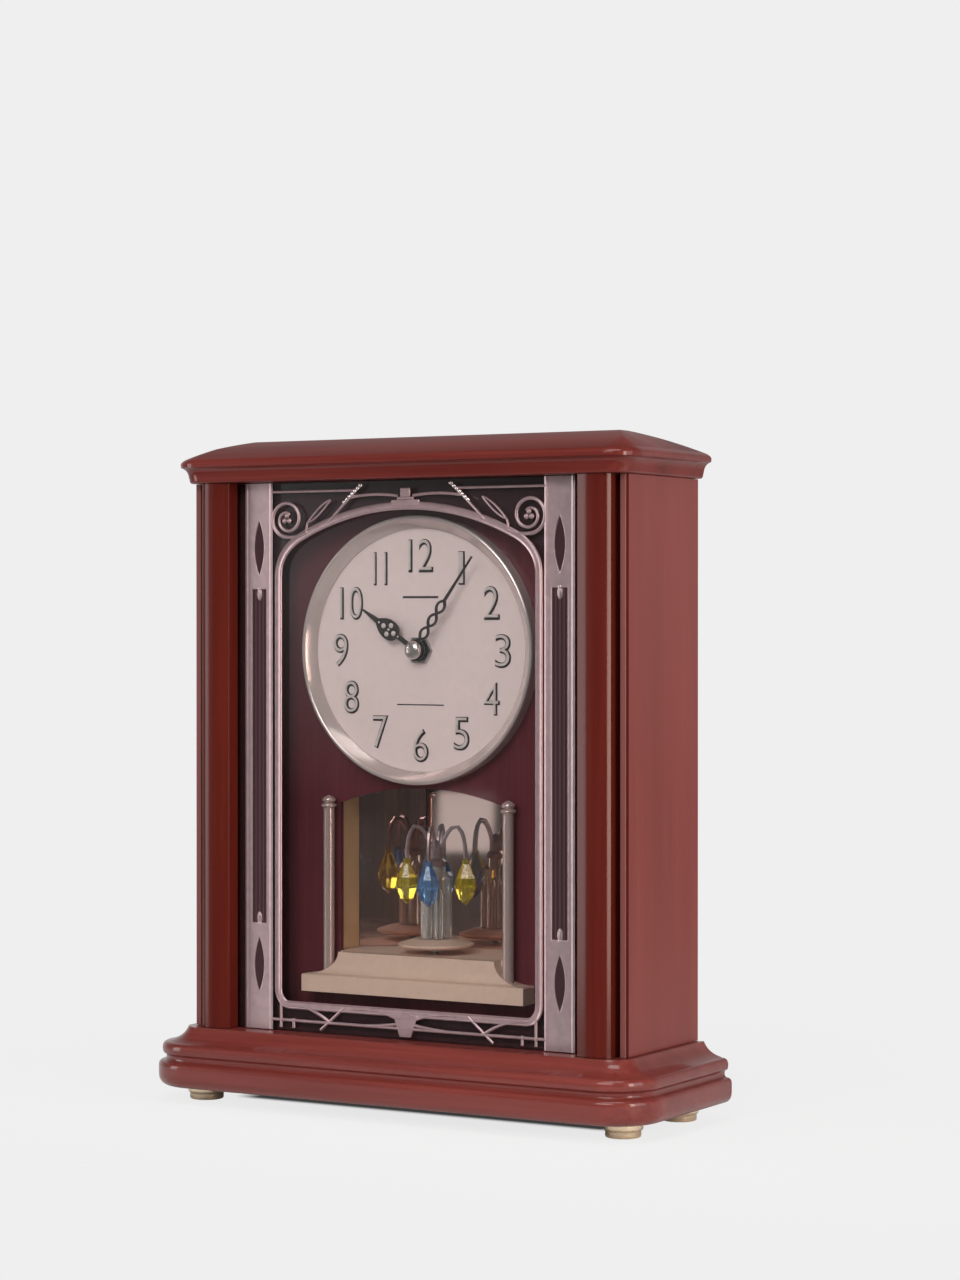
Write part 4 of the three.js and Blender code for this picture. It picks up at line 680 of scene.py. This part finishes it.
# Pale studs in and beside the openings of the hour hand, which points to a little past ten
handStuds = {"turn": 303, "y": -12.15, "radii": [1.3, 1.3, 1.3, 1.3, 0.75, 0.7, 0.6]}
turn = np.radians(handStuds["turn"])
studs = np.array([[-2.3, 17], [2.3, 17], [0, 14], [0, 20.4], [0, 17.2], [0, 23.4], [0, 11.2]])
studs = studs @ [[np.cos(turn), -np.sin(turn)], [np.sin(turn), np.cos(turn)]] + [0, dial["centre"][2]]
balls("hourStuds", studs, handStuds["y"], handStuds["radii"], numeralSilver, "hour")


# Text is made a mesh flat, then its points are fitted to a width and height and stood on the dial
def numeral(name, words, centre, width, depth, finish, grow):
    curve = bpy.data.curves.new(name, "FONT")
    curve.body = words
    curve.align_x = "CENTER"
    curve.extrude = 0.5
    curve.offset = grow
    curve.resolution_u = 6
    shape = bpy.data.objects.new(name, curve)
    bpy.context.scene.collection.objects.link(shape)
    bpy.context.view_layer.update()
    mesh = bpy.data.meshes.new_from_object(shape.evaluated_get(bpy.context.evaluated_depsgraph_get()))
    bpy.data.objects.remove(shape)
    flat = np.empty(len(mesh.vertices) * 3, dtype=np.float32)
    mesh.vertices.foreach_get("co", flat)
    flat = flat.reshape(-1, 3)
    middle = (flat.min(axis=0) + flat.max(axis=0)) / 2
    unit = (flat - middle) / (flat.max(axis=0) - flat.min(axis=0))
    x = centre[0] + unit[:, 0] * width
    z = centre[1] + unit[:, 1] * (dial["numeralHeight"] + grow * 40)
    y = dial["face"] - depth * (unit[:, 2] + 0.5)
    mesh.vertices.foreach_set("co", (np.column_stack([x, y, z]) * 0.001).astype(np.float32).ravel())
    mesh.name = name
    outward(mesh)
    smoothed(mesh, 30)
    placed(name, mesh, finish, "case")


for hour in range(1, 13):
    angle = math.radians(hour * 30)
    x, z = dial["numeralRadius"] * math.sin(angle), dial["numeralRadius"] * math.cos(angle)
    spot = (x, dial["centre"][2] + z)
    wide = dial["widths"].get(hour, dial["digitWidth"])
    # each numeral stands on a dark copy, a little wider and set right and down: a dark outline thickened into a
    # painted shadow on its lower right
    shade = (spot[0] + 0.3, spot[1] - 0.25)
    grow = 0.0 if hour == 4 else 0.012  # a grown outline would close the eye of the four
    numeral(f"numeralOutlineShadow_{hour}", str(hour), shade, wide + 0.9, 0.3, handPaint, grow)
    numeral(f"numeralFace_{hour}", str(hour), spot, wide, 0.6, numeralSilver, -0.018)
for name, width, height, z in (("upperRule", 19, 1.0, 235.5), ("lowerRule", 25, 0.55, 186.5)):
    low = np.insert(blockOutline(width / 2, z, z + height), 1, dial["face"], axis=1)
    ends = np.stack([low, low - [0, 0.06, 0]])
    surface(name, ends, handPaint, "case", closeColumns=True, caps=True)
print("dial built")

# Sill before the niche: plain fascia, a narrow ledge, then a steep hollow slope with long mitred ends
sill = {"front": -17.05, "back": -6.65, "half": 59.2, "bottom": 53.5, "ledge": 61.6, "rise": 10.4,
        "mitre": 16.3, "hollow": 3}
ledge = np.array([0, 0, 0.5, 1.2])  # how far the fascia's edge and the ledge stand back
quarter = np.linspace(0, np.pi / 2, 24)
inset = np.concatenate([ledge, ledge[-1] + sill["mitre"] * np.sin(quarter)])
back = np.concatenate([ledge, ledge[-1] + sill["hollow"] * np.sin(quarter)])
edge = [sill["bottom"], sill["ledge"] - 0.6, sill["ledge"] - 0.1, sill["ledge"]]
rise = np.concatenate([edge, sill["ledge"] + sill["rise"] * (1 - np.cos(quarter))])
half, front = sill["half"] - inset, sill["front"] + back
rim = np.full_like(half, sill["back"])
rings = np.stack([np.stack([-half, front, rise], -1), np.stack([half, front, rise], -1),
                  np.stack([half, rim, rise], -1), np.stack([-half, rim, rise], -1)], axis=1)
slope = surface("sillSlope", rings, champagne, "case", closeColumns=True, caps=True)
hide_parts("stage_sill")
posts = {"aside": 48, "y": -10.75, "segments": 32}
postProfile = drawn(
    (0, 60.8), (2.6, 60.8), (2.6, 138.5), (3.4, 139.0), (3.6, 139.1, 3.6, 139.6), (3.6, 140.1, 3.2, 140.3),
    (2.1, 140.9), (3.2, 141.4, 3.2, 142.2), (3.1, 143.6, 0, 144.55), steps=6,
)
for side, sign in sides:
    rings = turned(postProfile, (sign * posts["aside"], posts["y"], 0), "z", posts["segments"])
    post = surface(f"sillPost_{side}", rings, postSilver, "case", closeColumns=True, caps=True)
    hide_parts(f"sill_post_{side}")
print("niche front built")

# Dark paint on the backs of the mirrors: a thin slab laid outwards on each line in plan
mirrorBacks = {"back": ((-21.5, 35.33), (21.5, 35.33)), "left": ((-47.31, 13.99), (-23.21, 34.44)),
               "right": ((23.21, 34.44), (47.31, 13.99))}
paintCoat = {"thick": 0.1, "low": 72.2, "high": 149.9}
for name, (start, end) in mirrorBacks.items():
    ends = np.array([start, end])
    out = np.array([ends[0, 1] - ends[1, 1], ends[1, 0] - ends[0, 0]])
    outline = np.vstack([ends, ends[::-1] + paintCoat["thick"] * out / np.hypot(*out)])
    slab = raised(outline, paintCoat["low"], paintCoat["high"])
    surface(f"mirrorPaint_{name}", slab, blackMoulding, "case", closeColumns=True, caps=True)

# Studs that hold the hinge leaves to the frame and to the door
hingeStuds = {"frameX": -70.2, "doorX": -53.6, "y": 41.6, "radius": 1.4,
              "heights": (104.7, 114.7, 124.7, 234.7, 244.7, 254.7)}
onFrame, onDoor = ([(hingeStuds[x], z) for z in hingeStuds["heights"]] for x in ("frameX", "doorX"))
balls("frameStuds", onFrame, hingeStuds["y"], hingeStuds["radius"], paleBrass, "case")
balls("doorStuds", onDoor, hingeStuds["y"], hingeStuds["radius"], paleBrass, "door")
print("back fittings built")

# Camera at the photo's angle
view = {"place": (0.7557, -1.23965, 0.2255), "turn": 30.45, "dip": 0.36, "lens": 88.9}
turn, dip = math.radians(view["turn"]), math.radians(view["dip"])
aim = Vector((-math.sin(turn) * math.cos(dip), math.cos(turn) * math.cos(dip), -math.sin(dip)))
cameraData = bpy.data.cameras.new("photoCamera")
cameraData.lens = view["lens"]
cameraData.clip_start = 0.05
camera = bpy.data.objects.new("photoCamera", cameraData)
camera.location = view["place"]
camera.rotation_mode = "QUATERNION"
camera.rotation_quaternion = aim.to_track_quat("-Z", "Y")
bpy.context.scene.collection.objects.link(camera)
bpy.context.scene.camera = camera

# Studio: pale surroundings, soft lamps on both sides and overhead
studio = {"backdrop": 0.863, "fill": 0.4, "room": 0.07}
world = bpy.data.worlds.new("studio")
bpy.context.scene.world = world
world.use_nodes = True
air = Wire(world.node_tree)
seen = air.node("ShaderNodeLightPath", out="Is Camera Ray")
gloss = air.node("ShaderNodeLightPath", out="Is Glossy Ray")
through = air.node("ShaderNodeLightPath", out="Is Transmission Ray")
pale = [studio["backdrop"]] * 3 + [1]
dim = [studio["fill"]] * 3 + [1]
room = [studio["room"]] * 3 + [1]
heading = air.node("ShaderNodeTexCoord", out="Generated")
aside, ahead, above = (component(air, heading, axis) for axis in "XYZ")
behind = (ahead * 1.6 + 0.4).held() * (1.15 - above * 1.7).held()
# two pale cards in front on the left: a soft one for the glass, and a low small one that the niche mirror finds
card = {"left": -0.518, "right": -0.5012, "low": -0.074, "high": -0.0535, "crisp": 600, "strength": 0.75}
front = (ahead * -3).held()
across = ((aside - card["left"]) * card["crisp"]).held() * ((card["right"] - aside) * card["crisp"]).held()
upwards = ((above - card["low"]) * card["crisp"]).held() * ((card["high"] - above) * card["crisp"]).held()
lowCard = across * upwards * front * card["strength"]
leftCard = (1 - air.calc("ABSOLUTE", aside + 0.6) * 8).atLeast(0.0) * front
leftCard = leftCard * (above * 14 + 0.8).held() * (1.15 - above * 15).held()
pallor = (behind + lowCard + leftCard).atMost(1.0)
mirrored = blended(air, gloss.atLeast(through), dim, blended(air, pallor, room, pale))
blended(air, seen, mirrored, pale).feed(world.node_tree.nodes["Background"], "Color")

# Floor: pale to the camera, with a faint shadow about the clock and, under the plinth, a painted shadow: its
# colour darkened to a dark line; it ends soon in front, so that the glass doesn't mirror it
floorSize = {"half": 3, "front": -0.2, "back": 4}
floorCorners = [(-floorSize["half"], floorSize["front"], 0), (floorSize["half"], floorSize["front"], 0),
                (floorSize["half"], floorSize["back"], 0), (-floorSize["half"], floorSize["back"], 0)]
floorMesh = bpy.data.meshes.new("floor")
floorMesh.from_pydata(floorCorners, [], [(0, 1, 2, 3)])
floor = bpy.data.objects.new("floor", floorMesh)
bpy.context.scene.collection.objects.link(floor)
floorPaint = bpy.data.materials.new("floorPaint")
floorPaint.use_nodes = True
ground = Wire(floorPaint.node_tree)
glow = ground.node("ShaderNodeEmission", {}, {"Color": pale, "Strength": 1.0})
place = ground.node("ShaderNodeTexCoord", out="Object")
away = ground.node("ShaderNodeVectorMath", {"operation": "LENGTH"}, {0: place}, out="Value")
footing, depthwise = (component(ground, place, axis) for axis in "XY")
near = (1.15 - away * 2.8).held() * (depthwise * 8 + 1.6).held() * 0.1
# a mask under the plinth's front, where the floor's colour is darkened into a painted shadow line
under = (8.4 - ground.calc("ABSOLUTE", footing) * 80).held()
under = under * (depthwise * 150 + 1.9).held() * (2.8 - depthwise * 40).held()
near = near.atLeast(under * 0.95)
# the floor's colour goes dark under the plinth: painted shadow
matt = blended(ground, under, (0.8, 0.8, 0.8, 1), (0.06, 0.06, 0.06, 1))
matt = ground.node("ShaderNodeBsdfDiffuse", {}, {"Color": matt})
seen = ground.node("ShaderNodeLightPath", out="Is Camera Ray")
mixed = ground.node("ShaderNodeMixShader", {}, {0: 1 - seen * (1 - near), 1: glow, 2: matt})
floorPaint.node_tree.links.new(mixed.socket, floorPaint.node_tree.nodes["Material Output"].inputs["Surface"])
floorMesh.materials.append(floorPaint)

# Soft lamps, all turned to the middle of the clock; lowFill doesn't show in the glass
lamps = {
    "rightSoftbox": {"place": (1.5, -0.2, 0.45), "size": (0.7, 1.0), "power": 8},
    "edgeStrip": {"place": (1.28, -0.54, 0.3), "size": (0.22, 0.8), "power": 10, "colour": (1, 0.78, 0.66)},
    "leftSoftbox": {"place": (-1.3, -0.85, 0.3), "size": (0.5, 0.9), "power": 8},
    "overhead": {"place": (0.28, -0.45, 1.4), "size": (0.75, 0.5), "power": 8},
    "frontSoftbox": {"place": (0.2, -1.5, 1.0), "size": (1.0, 0.7), "power": 16},
    "lowFill": {"place": (0.3, -1.1, 0.03), "size": (0.9, 0.25), "power": 1, "mirrored": False},
}
for name, lamp in lamps.items():
    data = bpy.data.lights.new(name, "AREA")
    data.shape = "RECTANGLE"
    data.size, data.size_y = lamp["size"]
    data.energy = lamp["power"]
    data.color = lamp.get("colour", (1, 1, 1))
    light = bpy.data.objects.new(name, data)
    light.location = lamp["place"]
    light.visible_glossy = lamp.get("mirrored", True)
    light.rotation_mode = "QUATERNION"
    light.rotation_quaternion = (Vector((0, 0, 0.16)) - Vector(lamp["place"])).to_track_quat("-Z", "Y")
    bpy.context.scene.collection.objects.link(light)
bpy.context.scene.view_settings.view_transform = "Standard"
print("camera, floor and lamps set")
